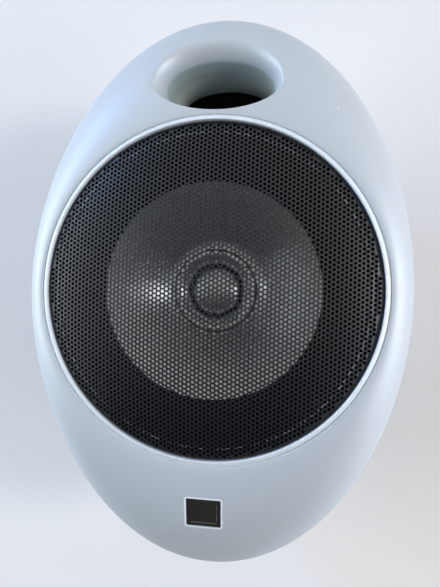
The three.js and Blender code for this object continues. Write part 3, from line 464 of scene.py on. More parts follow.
print("finishes made:", len(finishes) + 2)

# Meshes from loops of points.


def ellipse(angles, semiX, semiY):  # distance from the axis to an ellipse, for each angle
    return 1 / np.hypot(np.cos(angles) / semiX, np.sin(angles) / semiY)


def turnOf(count):
    return np.arange(count) * 2 * math.pi / count


def polarLoop(radius, z, count):
    angles = turnOf(count)
    return np.stack([radius * np.cos(angles), radius * np.sin(angles), np.zeros(count) + z], 1)


def roundedLoop(halfX, halfY, corner, centreY=0.0, sideSteps=12, cornerSteps=6):
    def cornerPoint(side, angle):
        signX, signY = [(1, 1), (-1, 1), (-1, -1), (1, -1)][side]
        x = signX * (halfX - corner) + corner * math.cos(angle)
        return x, signY * (halfY - corner) + corner * math.sin(angle)

    plan = []
    for turn in range(4):
        for step in range(cornerSteps + 1):
            plan.append(cornerPoint(turn, quarter * (turn + step / cornerSteps)))
        startX, startY = plan[-1]
        side = (turn + 1) % 4
        endX, endY = cornerPoint(side, quarter * side)
        for step in range(1, sideSteps):
            share = step / sideSteps
            plan.append((startX + (endX - startX) * share, startY + (endY - startY) * share))
    return np.array(plan) + (0, centreY)


def inside(points, starts, ends):  # an even number of crossings is outside
    x, y = points[:, 0, None], points[:, 1, None]
    spans = (starts[:, 1] > y) != (ends[:, 1] > y)
    level = ends[:, 1] == starts[:, 1]
    rise = np.where(level, 1, ends[:, 1] - starts[:, 1])  # a level edge is never crossed
    cross = starts[:, 0] + (y - starts[:, 1]) * (ends[:, 0] - starts[:, 0]) / rise
    return ((spans & (x < cross)).sum(1) % 2) == 1


class Mould:
    def __init__(self):
        self.points = np.zeros((0, 3))
        self.faces = []
        self.tones = []

    def add(self, loop):
        start = len(self.points)
        self.points = np.concatenate([self.points, np.asarray(loop, float).reshape(-1, 3)])
        return np.arange(start, len(self.points))

    def face(self, corners, tone):
        self.faces.append([int(corner) for corner in corners])
        self.tones.append(tone)

    def strip(self, low, high, tone=0, closed=True):
        count = len(low)
        for i in range(count if closed else count - 1):
            j = (i + 1) % count
            self.face((low[i], low[j], high[j], high[i]), tone)

    def chain(self, loops, tone=0):  # adds loops and joins each to the next
        indices = [loop if loop.dtype.kind == "i" else self.add(loop) for loop in loops]
        for low, high in zip(indices, indices[1:]):
            self.strip(low, high, tone)
        return indices

    def fan(self, loop, tone=0):
        centre = self.add(self.points[loop].mean(0))[0]
        for i, corner in enumerate(loop):
            self.face((corner, loop[(i + 1) % len(loop)], centre), tone)

    # Fills between border edges and holes, seen in plan, with triangles.
    def fill(self, edges, holes, extra=(), tone=0):
        edges = np.array(edges)
        rims = [np.stack([hole, np.roll(hole, -1)], 1) for hole in holes]
        allEdges = np.concatenate([edges, *rims])
        used = np.unique(np.concatenate([allEdges.ravel(), np.array(extra, int)]))
        slot = {int(corner): k for k, corner in enumerate(used)}
        plan = [Vector(self.points[corner][:2]) for corner in used]
        lines = [(slot[int(a)], slot[int(b)]) for a, b in allEdges]
        result = delaunay_2d_cdt(plan, lines, [], 0, tiny, True)
        origin = [used[given[0]] if given else -1 for given in result[3]]
        corners = np.array([[origin[k] for k in face] for face in result[2]])
        corners = corners[(corners >= 0).all(1)]
        flat = self.points[:, :2]
        centres = flat[corners].mean(1)
        keep = inside(centres, flat[edges[:, 0]], flat[edges[:, 1]])
        for rim in rims:
            keep &= ~inside(centres, flat[rim[:, 0]], flat[rim[:, 1]])
        for corner in corners[keep]:
            self.face(corner, tone)

    # Rings joined by quads; cells near a hole give way to triangles that run up to it.
    def sheet(self, rings, holes, tone=0, margin=1.8, closeShare=0.55):
        grid = np.array(rings)
        plan = self.points[grid.ravel()][:, :2]
        near = np.zeros(len(plan), bool)
        blocked = np.zeros(len(plan), bool)
        for hole in holes:
            outline = self.points[hole][:, :2]
            gap = np.hypot(*(plan[:, None] - outline[None]).transpose(2, 0, 1)).min(1)
            within = inside(plan, outline, np.roll(outline, -1, 0))
            near |= within | (gap < margin)
            blocked |= within | (gap < margin * closeShare)
        near = near.reshape(grid.shape)
        ahead = np.roll(near, -1, 1)
        gone = near[:-1] | near[1:] | ahead[:-1] | ahead[1:]
        border = {}
        for row, column in np.ndindex(gone.shape):
            following = (column + 1) % grid.shape[1]
            corners = (
                grid[row, column],
                grid[row, following],
                grid[row + 1, following],
                grid[row + 1, column],
            )
            if not gone[row, column]:
                self.face(corners, tone)
                continue
            for a, b in zip(corners, corners[1:] + corners[:1]):
                key = (min(a, b), max(a, b))
                border[key] = border.get(key, 0) + 1
        if not border:
            return
        edges = [key for key, uses in border.items() if uses == 1]
        rimmed = {corner for edge in edges for corner in edge}
        kept = {corner for edge in border for corner in edge} - rimmed
        free = {int(c) for c, stop in zip(grid.ravel(), blocked) if not stop}
        self.fill(edges, holes, sorted(kept & free), tone)

    # A profile of (radius, height) corners turned about Z, closed on itself or ending on the axis.
    def revolve(self, profile, count, tone=0, x=0.0, y=0.0):
        loops = []
        for radius, z in profile:
            loop = [(0, 0, z)] if radius < tiny else polarLoop(radius, z, count)
            loops.append(self.add(np.array(loop) + (x, y, 0)))
        if len(loops[0]) > 1:
            loops.append(loops[0])
        for low, high in zip(loops, loops[1:]):
            if len(low) > 1 and len(high) > 1:
                self.strip(low, high, tone)
            elif len(low) != len(high):
                pole, ring = (low, high) if len(low) == 1 else (high, low)
                for i, corner in enumerate(ring):
                    self.face((corner, ring[(i + 1) % count], pole[0]), tone)

    def build(self, name, materials, sharp=32.0):
        mesh = bpy.data.meshes.new(name)
        mesh.from_pydata((self.points * mm).tolist(), [], self.faces)
        for material in materials:
            mesh.materials.append(material)
        mesh.polygons.foreach_set("material_index", self.tones)
        work = bmesh.new()
        work.from_mesh(mesh)
        loose = [corner for corner in work.verts if not corner.link_faces]
        bmesh.ops.delete(work, geom=loose, context="VERTS")
        bmesh.ops.recalc_face_normals(work, faces=work.faces)
        work.to_mesh(mesh)
        work.free()
        smooth(mesh, sharp)
        built = bpy.data.objects.new(name, mesh)
        scene.collection.objects.link(built)
        return built


def smooth(mesh, sharp):
    mesh.shade_smooth()
    mesh.set_sharp_from_angle(angle=math.radians(sharp))


def seat(built, body, slot, *replaced):
    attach(built, body)
    if replaced:
        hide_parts(*replaced)
    return built


# Camera.

camera = {
    "lens": 31.9,  # mm
    "longSide": 36,  # of the film, mm
    "nearest": 0.005,  # nearest visible point, m
    "distance": 162.2,  # lens to the face plane, mm
    "aside": 3.3,
    "below": 1.0,
    "turnY": -7.82,  # degrees
    "turnX": -0.31,
    "roll": -1.83,
}


def makeCamera():
    data = bpy.data.cameras.new("camera")
    data.sensor_fit = "VERTICAL"
    data.sensor_height = camera["longSide"]
    data.lens = camera["lens"]
    data.clip_start = camera["nearest"]
    facing = Matrix.Identity(3)
    for key, axis in [("turnY", "Y"), ("turnX", "X"), ("roll", "Z")]:
        facing = facing @ Matrix.Rotation(math.radians(camera[key]), 3, axis)
    facing.transpose()
    offset = Vector((camera["aside"], -camera["below"], camera["distance"]))
    place = (facing @ offset + Vector((0, 0, faceZ))) * mm
    eye = bpy.data.objects.new("camera", data)
    eye.matrix_world = Matrix.Translation(place) @ facing.to_4x4()
    scene.collection.objects.link(eye)
    scene.camera = eye


makeCamera()
print("camera placed")

# Cabinet, front half.

front = {
    "facets": 240,
    "bands": 34,
    "innerBands": 8,
    "wall": 3,
    "ringGap": 0.3,  # from the trim ring to the opening it stands in
    "edge": 0.4,  # rounding of the driver opening
    "edgeTurns": (30, 60, 90),  # degrees
    "ledge": 102,  # height of the driver's seat
    "ledgeInner": 45.9,
    "ledgeThickness": 2.6,
    "wellWall": 1.2,
    "lip": 1.8,  # inset of the lip that enters the rear half
    "lipDepth": 2,
    "seamRound": 0.3,
    "bossLow": 86.3,  # cabinet screw bosses, from the seam up
    "pilotEnd": 98,
    "screwBoss": 7.4,  # driver screw bosses: length, radii, and rise into the ledge
    "screwBossInner": 1.6,
    "screwBossOuter": 3,
    "screwBossRise": 0.4,
    "screwBossFacets": 24,
}
port = {
    "facets": 112,
    "wall": 1.8,
    "lowWall": 0.5,
    "flareSide": 3.6,
    "flareTop": 8,
    "flareBottom": 0.6,
    "flareDepth": 7.3,
    "flareBands": 18,
    "narrowing": 1.2,  # powers that shape the flare's section
    "deepening": 1.5,
    "edgeOut": 1.0,  # the flare's edge, out from the straight wall
    "wallSteps": (0.33, 0.66, 1),
    "boss": 15,  # length below the face
    "bossFlare": 0.28,
    "tubeRounding": 0.3,  # at the tube's upper end, and at the lower
    "tubeLowRounding": 0.5,
    "roundingInside": 0.6,  # share of it that is taken off inside
}
badge = {
    "width": 10.8,
    "height": 9.2,
    "thickness": 0.8,
    "bevel": 0.12,
    "corner": 0.2,
    "cornerLoss": 0.1,  # how much a corner shrinks for each mm inward
    "sharpest": 0.08,  # smallest corner of a field
    "border": 1.1,  # frame round the glossy field
    "fieldStep": 0.2,
    "fieldDepth": 0.16,
    # growth of the outline and drop below the skin, from the skin to the floor of the recess
    "lip": [
        (0.75, 0),
        (0.66, 0),
        (0.54, -0.07),
        (0.4, -0.1),
        (0.26, -0.03),
        (0.17, 0.2),
        (0.17, 1.3),
    ],
}
driverOpening = cadSize("trim_ring")[1].x + front["ringGap"]
skinInner = driverOpening + front["edge"]
wellOuter = driverOpening + front["wellWall"]
portLow, portHigh = cadSize("port_tube")
portY = (portLow.y + portHigh.y) / 2
portHalfX = portHigh.x - port["wall"]
portHalfY = (portHigh.y - portLow.y) / 2 - port["wall"]
badgeLow, badgeHigh = cadSize("badge_plate")
badgeY = (badgeLow.y + badgeHigh.y) / 2
driverScrewX = sum(corner.x for corner in cadSize("driver_screw_1")) / 2
cabinetScrew = {
    "x": 43,
    "y": 47,
    "seat": 80,
    "headBore": 3.3,
    "shankBore": 1.8,
    "column": 4.6,
    "columnTop": 85.7,
    "mouth": [(0.35, 0), (0.1, 0.1), (0, 0.4)],  # rounding where the bore meets the skin
}


def outline(angles, inset):
    return ellipse(angles, halfWidth - inset, halfLength - inset)


def frontHeight(x, y, inner, inset):  # height of the front skin over points of the face
    radius = np.hypot(x, y)
    edge = outline(np.arctan2(y, x), inset)
    share = np.clip((radius - inner) / (edge - inner), 0, 1)
    return seamZ + (faceZ - seamZ - inset) * np.sqrt(1 - share**2)


def frontRing(turn, inner, inset):
    angles = turnOf(front["facets"])
    radius = inner + (outline(angles, inset) - inner) * math.sin(turn)
    return polarLoop(radius, seamZ + (faceZ - seamZ - inset) * math.cos(turn), front["facets"])


def portPlan(flare, side=0.0, low=0.0):  # oval section of the port, widened by the flare
    angles = turnOf(port["facets"])
    up = np.sin(angles)
    top = portHalfY + side + flare * port["flareTop"]
    bottom = portHalfY + low + flare * port["flareBottom"]
    x = (portHalfX + side + flare * port["flareSide"]) * np.cos(angles)
    return x, portY + np.where(up > 0, top, bottom) * up


def loopOn(x, y, z):
    return np.stack([x, y, np.zeros(len(x)) + z], 1)


def circleAt(x, y, radius, z, count=40):
    angles = turnOf(count)
    return loopOn(x + radius * np.cos(angles), y + radius * np.sin(angles), z)


def screwPlaces(x, y):
    return [(sideX * x, sideY * y) for sideX in (-1, 1) for sideY in (-1, 1)]


def skinHeight(x, y):
    return frontHeight(x, y, skinInner, 0)


def liningHeight(x, y):  # of the shell's inner side
    return frontHeight(x, y, wellOuter, front["wall"])


paintTone, throatTone, plasticTone, lipHighlightTone = range(4)  # places among the front shell's finishes


def portMouth(mould):  # flare, wall, end of the boss, and back up outside it
    loops = []
    for share in np.linspace(0, 1, port["flareBands"]):  # leaves the skin flush, ends at an edge
        x, y = portPlan((1 - share) ** port["narrowing"], port["edgeOut"] * share)
        drop = port["flareDepth"] * share ** port["deepening"]
        loops.append(loopOn(x, y, skinHeight(x, y) - drop))
    bossEnd = faceZ - port["boss"]
    last = loops[-1][:, 2]
    for share in port["wallSteps"]:
        x, y = portPlan(0, port["edgeOut"] * (1 - share))
        loops.append(loopOn(x, y, last + (bossEnd - last) * share))
    mouth = mould.chain(loops, throatTone)
    end = loopOn(*portPlan(0, port["wall"], port["lowWall"]), bossEnd)
    x, y = portPlan(port["bossFlare"], port["wall"], port["lowWall"])
    outside = mould.chain([mouth[-1], end, loopOn(x, y, liningHeight(x, y))], plasticTone)
    return mouth[0], outside[-1]


def badgeRecess(mould):
    halfY = (badgeHigh.y - badgeLow.y) / 2
    loops = []
    for grow, drop in badge["lip"]:
        plan = roundedLoop(badgeHigh.x + grow, halfY + grow, badge["corner"] + grow, badgeY)
        loops.append(loopOn(*plan.T, skinHeight(*plan.T) - drop))
    # painted highlight: the recess lip takes the lighter bead finish
    loops = mould.chain(loops, lipHighlightTone)
    mould.fan(loops[-1], plasticTone)
    return loops[0]


def driverWell(mould, rim):  # rounded edge of the opening, and the wall down to the ledge
    loops = [rim]
    for degrees in front["edgeTurns"]:
        lean = math.radians(degrees)
        drop = front["edge"] * (1 - math.cos(lean))
        radius = skinInner - front["edge"] * math.sin(lean)
        loops.append(polarLoop(radius, faceZ - drop, front["facets"]))
    loops.append(polarLoop(driverOpening, front["ledge"], front["facets"]))
    return mould.chain(loops, paintTone)[-1]


def cabinetScrewBoss(mould, x, y):
    plan = circleAt(x, y, cabinetScrew["column"], 0)
    plan[:, 2] = liningHeight(plan[:, 0], plan[:, 1])
    boss = mould.chain([
        plan,
        circleAt(x, y, cabinetScrew["column"], front["bossLow"]),
        circleAt(x, y, cabinetScrew["shankBore"], front["bossLow"]),
        circleAt(x, y, cabinetScrew["shankBore"], front["pilotEnd"]),
    ], plasticTone)
    mould.fan(boss[-1], plasticTone)
    return boss[0]


def driverScrewBoss(mould, x, y, under):
    low, high = under - front["screwBoss"], under + front["screwBossRise"]
    inner, outer = front["screwBossInner"], front["screwBossOuter"]
    profile = [(inner, low), (outer, low), (outer, high), (inner, high)]
    mould.revolve(profile, front["screwBossFacets"], plasticTone, x, y)


def makeFrontShell():
    mould = Mould()
    facets = front["facets"]
    turns = np.linspace(0, quarter, front["bands"] + 1)
    rings = [mould.add(frontRing(turn, skinInner, 0)) for turn in turns]
    portEdge, portBack = portMouth(mould)
    mould.sheet(rings, [portEdge, badgeRecess(mould)], paintTone)
    wellEnd = driverWell(mould, rings[0])

    turns = np.linspace(0, quarter, front["innerBands"] + 1)
    inner = [mould.add(frontRing(turn, wellOuter, front["wall"])) for turn in turns]
    places = screwPlaces(cabinetScrew["x"], cabinetScrew["y"])
    bosses = [cabinetScrewBoss(mould, x, y) for x, y in places]
    under = front["ledge"] - front["ledgeThickness"]
    for x, y in screwPlaces(driverScrewX, driverScrewX):
        driverScrewBoss(mould, x, y, under)
    mould.chain([
        wellEnd,
        polarLoop(front["ledgeInner"], front["ledge"], facets),
        polarLoop(front["ledgeInner"], under, facets),
        polarLoop(wellOuter, under, facets),
        inner[0],
    ], plasticTone)
    mould.sheet(inner, [portBack, *bosses], plasticTone)

    # seam edge and the lip inside it
    angles = turnOf(facets)
    lipLow = seamZ - front["lipDepth"]
    mould.points[rings[-1], 2] = seamZ + front["seamRound"]
    mould.chain([
        rings[-1],
        polarLoop(outline(angles, front["seamRound"]), seamZ, facets),
        polarLoop(outline(angles, front["lip"]), seamZ, facets),
        polarLoop(outline(angles, front["lip"]), lipLow, facets),
        polarLoop(outline(angles, front["wall"]), lipLow, facets),
        inner[-1],
    ], plasticTone)
    tones = [
        finishes["silver_paint"],
        throatPaint,
        finishes["black_plastic"],
        # painted highlight: the badge recess's lip takes the lighter bead finish, for the bright
        # edge round the plate
        finishes["chrome_bead"],
    ]
    return seat(mould.build("frontShell", tones), "cabinet", "silver_paint", "front_shell")


makeFrontShell()
print("front shell made")

# Cabinet, rear half.

rear = {
    "facets": 240,
    "bands": 36,
    "landBands": 5,
    "innerBands": 14,
    "innerLandBands": 3,
    "landX": 22,
    "landY": 32,
    "insertHole": 5.3,
    "insertRound": 0.3,
    "insertDepth": 12.1,
    "insertBoss": 8,
    "insertBossTop": 15,
    "lip": 1.5,
    "rebate": 82.8,
    "rebateInset": 3.2,
    "pocketHalfX": 22,
    "pocketHalfY": 15,
    "pocketCorner": 5,
    "pocketY": -47,
    "pocketFloor": 25,
    "pocketWall": 2.5,
    "pocketMouth": [(0.6, 0), (0.3, 0.08), (0.08, 0.3), (0, 0.6)],  # rounding at the skin
    "windowHalfX": 13.8,
    "windowHalfY": 5,
    "windowCorner": 0.6,
    "sideSteps": 14,  # along each side of the pocket
}


def rearEdges(angles, inset):
    return ellipse(angles, rear["landX"], rear["landY"]) - inset / 2, outline(angles, inset)


def rearHeight(x, y, inset=0.0):
    land, edge = rearEdges(np.arctan2(y, x), inset)
    share = np.clip((np.hypot(x, y) - land) / (edge - land), 0, 1)
    return seamZ - (seamZ - inset) * np.sqrt(1 - share**2)


def rearRings(inset, inner, bands, landBands):  # from the rim inwards to a circle at the middle
    angles = turnOf(rear["facets"])
    land, edge = rearEdges(angles, inset)
    loops = []
    for turn in np.linspace(0, quarter, bands + 1):
        radius = land + (edge - land) * math.cos(turn)
        height = seamZ - (seamZ - inset) * math.sin(turn)
        loops.append(polarLoop(radius, height, rear["facets"]))
    for share in np.linspace(0, 1, landBands + 1)[1:]:
        loops.append(polarLoop(land + (inner - land) * share, inset, rear["facets"]))
    return loops


def onRear(plan, inset=0.0, drop=0.0):
    return loopOn(*plan.T, rearHeight(*plan.T, inset) + drop)


rearPaint, rearPlastic = range(2)  # places among the rear shell's finishes


def screwColumn(mould, x, y):  # bored from behind for the screw's head and shank
    def bore(radius, z):
        return circleAt(x, y, radius, z)

    def wall(radius, inset, drop):
        return onRear(bore(radius, 0)[:, :2], inset, drop)

    head, shank = cabinetScrew["headBore"], cabinetScrew["shankBore"]
    column, top = cabinetScrew["column"], cabinetScrew["columnTop"]
    mouth = [wall(head + grow, 0, drop) for grow, drop in cabinetScrew["mouth"]]
    mouth = mould.chain(mouth, rearPaint)
    rest = mould.chain([
        mouth[-1],
        bore(head, cabinetScrew["seat"]),
        bore(shank, cabinetScrew["seat"]),
        bore(shank, top),
        bore(column, top),
        wall(column, front["wall"], 0),
    ], rearPlastic)
    return mouth[0], rest[-1]


def terminalPocket(mould):  # the pocket, the window in its floor, and the wall behind
    def plan(grow):
        halfX, halfY = rear["pocketHalfX"] + grow, rear["pocketHalfY"] + grow
        corner = rear["pocketCorner"] + grow
        return roundedLoop(halfX, halfY, corner, rear["pocketY"], rear["sideSteps"])

    def window(z):
        size = rear["windowHalfX"], rear["windowHalfY"], rear["windowCorner"]
        return loopOn(*roundedLoop(*size, rear["pocketY"], rear["sideSteps"]).T, z)

    wall, floor = rear["pocketWall"], rear["pocketFloor"]
    back = floor + wall
    mouth = [onRear(plan(grow), 0, drop) for grow, drop in rear["pocketMouth"]]
    mouth = mould.chain(mouth, rearPaint)
    rest = mould.chain([
        mouth[-1],
        loopOn(*plan(0).T, floor),
        window(floor),
        window(back),
        loopOn(*plan(wall).T, back),
        onRear(plan(wall), front["wall"]),
    ], rearPlastic)
    return mouth[0], rest[-1]


def makeRearShell():
    mould = Mould()
    facets = rear["facets"]
    middle = rear["insertHole"] + rear["insertRound"]
    outer = [mould.add(loop) for loop in rearRings(0, middle, rear["bands"], rear["landBands"])]
    inner = rearRings(front["wall"], rear["insertBoss"], rear["innerBands"], rear["innerLandBands"])
    inner = [mould.add(loop) for loop in inner]
    holes = [screwColumn(mould, x, y) for x, y in screwPlaces(cabinetScrew["x"], cabinetScrew["y"])]
    holes.append(terminalPocket(mould))
    mould.sheet(outer, [hole[0] for hole in holes], rearPaint)
    mould.sheet(inner, [hole[1] for hole in holes], rearPlastic)

    # insert hole, its boss inside, and the seam edge
    hole = mould.chain([
        outer[-1],
        polarLoop(rear["insertHole"], rear["insertRound"], facets),
        polarLoop(rear["insertHole"], rear["insertDepth"], facets),
    ], rearPlastic)
    mould.fan(hole[-1], rearPlastic)
    boss = [inner[-1], polarLoop(rear["insertBoss"], rear["insertBossTop"], facets)]
    mould.fan(mould.chain(boss, rearPlastic)[-1], rearPlastic)
    angles = turnOf(facets)
    mould.points[outer[0], 2] = seamZ - front["seamRound"]
    mould.chain([
        outer[0],
        polarLoop(outline(angles, front["seamRound"]), seamZ, facets),
        polarLoop(outline(angles, rear["lip"]), seamZ, facets),
        polarLoop(outline(angles, rear["lip"]), rear["rebate"], facets),
        polarLoop(outline(angles, rear["rebateInset"]), rear["rebate"], facets),
        inner[0],
    ], rearPlastic)
    built = mould.build("rearShell", [finishes["silver_paint"], finishes["black_plastic"]])
    return seat(built, "cabinet", "silver_paint", "rear_shell")


makeRearShell()
print("rear shell made")

# Grille: punched sheet by geometry nodes, on a folded rim.

grilleHigh = cadSize("grille")[1]
grille = {
    "pitch": 1.45,
    "hole": 0.545,  # radius
    "holeSides": 8,
    "sheetRadius": 52.75,
    "punchedRadius": 51.89,
    "leastReach": 0.5,  # half length of the outermost strip's outer side
    "crease": grilleCoat["fold"],
    "ridge": 0.22,  # height of the fold at the crease
    "ridgeWidth": 0.8,
    "curlFrom": 51.5,  # the edge curls down from here
    "curl": 0.42,  # drop for each square millimetre beyond
    "bandRise": 0.5,
    "thickness": 0.5,
    "crownPower": 0.8,  # under 1 is flatter in the middle
    "crownBelow": 0.02,  # kept below the CAD grille's top
    "rimFacets": 256,
    "rimInner": 52.3,
    "rimWall": 0.5,
    "rimLow": 105.6,
    "rimOver": 0.08,  # height over the sheet, and the rounding of its edges
    "rimRound": 0.04,
    "rimTuck": 0.1,
    "rimSteps": 7,
}
grilleRadius = grilleHigh.x
grilleCrown = grilleHigh.z - faceZ - grille["bandRise"] - grille["crownBelow"]


class Sculpt(Net):  # a geometry node group whose inputs are set by name
    def __init__(self, name, **inputs):
        super().__init__(bpy.data.node_groups.new(name, "GeometryNodeTree"))
        face = self.tree.interface
        face.new_socket(name="Geometry", in_out="OUTPUT", socket_type="NodeSocketGeometry")
        face.new_socket(name="Geometry", in_out="INPUT", socket_type="NodeSocketGeometry")
        self.values = inputs
        kinds = {
            int: "NodeSocketInt",
            float: "NodeSocketFloat",
            bpy.types.Material: "NodeSocketMaterial",
        }
        for key, value in inputs.items():
            face.new_socket(name=key, in_out="INPUT", socket_type=kinds[type(value)])
        self.entry = self.tree.nodes.new("NodeGroupInput")
        self.exit = self.tree.nodes.new("NodeGroupOutput")

    def given(self, key):
        return Signal(self, self.entry.outputs[key])

    def compare(self, operation, first, second):
        settings = {"operation": operation, "data_type": "FLOAT"}
        return self.node("FunctionNodeCompare", settings, {0: first, 1: second})

    def position(self):
        return self.node("GeometryNodeInputPosition")

    def length(self, vector):
        return self.node("ShaderNodeVectorMath", {"operation": "LENGTH"}, {0: vector}, "Value")

    def circle(self, sides, radius):
        inputs = {"Resolution": sides, "Radius": radius}
        return self.node("GeometryNodeCurvePrimitiveCircle", {}, inputs)

    def grid(self, sizeX, sizeY, columns, rows):
        inputs = {"Size X": sizeX, "Size Y": sizeY, "Vertices X": columns, "Vertices Y": rows}
        return self.node("GeometryNodeMeshGrid", {}, inputs)

    def join(self, *parts):
        return self.node("GeometryNodeJoinGeometry", {}, {0: list(parts)})

    def shift(self, geometry, offset):
        return self.node("GeometryNodeSetPosition", {}, {"Geometry": geometry, "Offset": offset})

    def merge(self, geometry):
        inputs = {"Geometry": geometry, "Distance": mergeDistance}
        return self.node("GeometryNodeMergeByDistance", {}, inputs)

    def delete(self, points, chosen):
        inputs = {"Geometry": points, "Selection": chosen}
        return self.node("GeometryNodeDeleteGeometry", {"domain": "POINT"}, inputs)

    def repeat(self, shape, points, **more):  # a copy of the shape on each point
        inputs = {"Points": points, "Instance": shape, **more}
        copies = self.node("GeometryNodeInstanceOnPoints", {}, inputs)
        return self.node("GeometryNodeRealizeInstances", {}, {0: copies})

    # Ends the tree, runs it on a base mesh and turns the result into a plain mesh.
    def run(self, shape, name, holder, sharp=35.0):
        shape = self.node("GeometryNodeRealizeInstances", {}, {0: shape})
        inputs = {"Geometry": shape, "Material": self.given("Material")}
        self.plug(self.exit.inputs[0], self.node("GeometryNodeSetMaterial", {}, inputs))
        modifier = holder.modifiers.new("sculpt", "NODES")
        modifier.node_group = self.tree
        for item in self.tree.interface.items_tree:
            if item.in_out == "INPUT" and item.name in self.values:
                modifier[item.identifier] = self.values[item.name]
        bpy.context.view_layer.update()
        evaluated = holder.evaluated_get(bpy.context.evaluated_depsgraph_get())
        mesh = bpy.data.meshes.new_from_object(evaluated)
        holder.modifiers.remove(modifier)
        holder.data = mesh
        mesh.name = holder.name = name
        smooth(mesh, sharp)
        return holder


def latheProfile(name, profile, facets, materials, sharp=32.0):
    mould = Mould()
    mould.revolve(profile, facets)
    return mould.build(name, materials, sharp)


def grilleRim():  # the sheet's folded edge
    def heightAt(radius):
        band = grille["bandRise"] * (grilleRadius - radius) / (grilleRadius - grille["crease"])
        return faceZ + band - grille["curl"] * max(radius - grille["curlFrom"], 0) ** 2

    inner, wall, rounding = grille["rimInner"], grille["rimWall"], grille["rimRound"]
    under = heightAt(grilleRadius) - wall
    profile = [(inner, heightAt(inner) - grille["rimTuck"])]
    for radius in np.linspace(inner + rounding, grilleRadius - rounding, grille["rimSteps"]):
        profile.append((radius, heightAt(radius) + grille["rimOver"]))
    profile += [
        (grilleRadius, heightAt(grilleRadius)),
        (grilleRadius, grille["rimLow"]),
        (grilleRadius - wall, grille["rimLow"]),
        (grilleRadius - wall, under),
        (inner, under),
    ]
    return latheProfile("grilleSheet", profile, grille["rimFacets"], [])


# Holes stand in columns, each column half a pitch higher or lower than the next.
columnShare = math.sqrt(3) / 2  # distance between columns, in pitches
columnStep = grille["pitch"] * columnShare
latticeRows = 2 * math.ceil(grille["punchedRadius"] / grille["pitch"]) + 3


def punchedHoles(tree, across):
    pitch = tree.given("Pitch")
    columns = 2 * math.ceil(grille["punchedRadius"] / columnStep) + 3
    sites = tree.grid(across * (columns - 1), pitch * (latticeRows - 1), columns, latticeRows)
    column = tree.calc("ROUND", tree.parts(tree.position())[0] / across)
    odd = tree.calc("ABSOLUTE", tree.calc("MODULO", column, 2.0))
    sites = tree.shift(sites, tree.vector(0.0, odd * pitch * 0.5, 0.0))
    span = tree.length(tree.position())
    sites = tree.delete(sites, tree.compare("GREATER_THAN", span, tree.given("Punched radius")))
    return tree.repeat(tree.circle(tree.given("Hole sides"), tree.given("Hole radius")), sites)


def sheetStrips(tree, across):  # outlines of strips two columns wide, cut off at the sheet's edge
    radius = tree.given("Sheet radius")
    ladder = tree.grid(across * 2.0, 2.0, 2, latticeRows)
    faces = tree.node("GeometryNodeInputMeshEdgeNeighbors")
    border = {"Mesh": ladder, "Selection": tree.compare("LESS_THAN", faces, 1.5)}
    outline = tree.node("GeometryNodeMeshToCurve", {}, border)
    half = int((grille["sheetRadius"] / columnStep + 0.5) // 2)
    strips = tree.repeat(outline, tree.grid(across * (4.0 * half), 0.0, 2 * half + 1, 1))
    place = tree.parts(tree.position())
    x = tree.calc("MINIMUM", place[0] + across * 0.5, radius)
    x = tree.calc("MAXIMUM", x, radius * -1.0)
    least = (grille["leastReach"] * mm) ** 2
    reach = tree.calc("SQRT", tree.calc("MAXIMUM", radius * radius - x * x, least))
    corner = {"Geometry": strips, "Position": tree.vector(x, place[1] * reach, 0.0)}
    return tree.node("GeometryNodeSetPosition", {}, corner)


def crownHeight(tree):  # height of the sheet over each point of its plan
    place = tree.parts(tree.position())
    span = tree.length(tree.vector(place[0], place[1], 0.0))
    crease = tree.given("Crease radius")
    share = tree.calc("MINIMUM", span / crease, 1.0)
    dome = (1 - share * share) ** grille["crownPower"] * tree.given("Crown rise")
    beyond = tree.calc("MAXIMUM", span - crease, 0.0)
    slope = tree.given("Band rise") / (grilleRadius * mm - crease)
    offCrease = tree.calc("ABSOLUTE", span - crease) / tree.given("Ridge width")
    ridge = tree.calc("MAXIMUM", 1 - offCrease, 0.0) * tree.given("Ridge")
    curled = tree.calc("MAXIMUM", span - tree.given("Curl from"), 0.0)
    height = dome + ridge + tree.given("Band rise") - beyond * slope + faceZ * mm
    return height - curled * curled * tree.given("Curl")


def makeGrille():
    rim = grilleRim()
    tree = Sculpt(
        "punchedSheet",
        **{
            "Pitch": grille["pitch"] * mm,
            "Hole radius": grille["hole"] * mm,
            "Hole sides": grille["holeSides"],
            "Sheet radius": grille["sheetRadius"] * mm,
            "Punched radius": grille["punchedRadius"] * mm,
            "Crease radius": grille["crease"] * mm,
            "Band rise": grille["bandRise"] * mm,
            "Ridge": grille["ridge"] * mm,
            "Ridge width": grille["ridgeWidth"] * mm,
            "Curl from": grille["curlFrom"] * mm,
            "Curl": grille["curl"] / mm,
            "Crown rise": grilleCrown * mm,
            "Thickness": grille["thickness"] * mm,
            "Material": finishes["black_steel"],
        },
    )
    across = tree.given("Pitch") * columnShare
    # each strip is filled by itself, which is far quicker than one fill of the whole sheet
    strip = tree.calc("FLOOR", (tree.parts(tree.position())[0] / across + 0.5) * 0.5)
    outlines = tree.join(punchedHoles(tree, across), sheetStrips(tree, across))
    filling = {"Curve": outlines, "Group ID": strip}
    sheet = tree.merge(tree.node("GeometryNodeFillCurve", {"mode": "TRIANGLES"}, filling))
    drop = tree.vector(0.0, 0.0, tree.given("Thickness") * -1.0)
    extruded = {"Mesh": sheet, "Offset": drop, "Offset Scale": 1.0, "Individual": False}
    walls = tree.node("GeometryNodeExtrudeMesh", {"mode": "FACES"}, extruded)
    walls = tree.node("GeometryNodeFlipFaces", {}, {"Mesh": walls})
    solid = tree.merge(tree.join(walls, sheet))
    solid = tree.shift(solid, tree.vector(0.0, 0.0, crownHeight(tree)))
    built = tree.run(tree.join(solid, tree.given("Geometry")), "grilleSheet", rim, sharp=50)
    return seat(built, "cabinet", "black_steel", "grille")


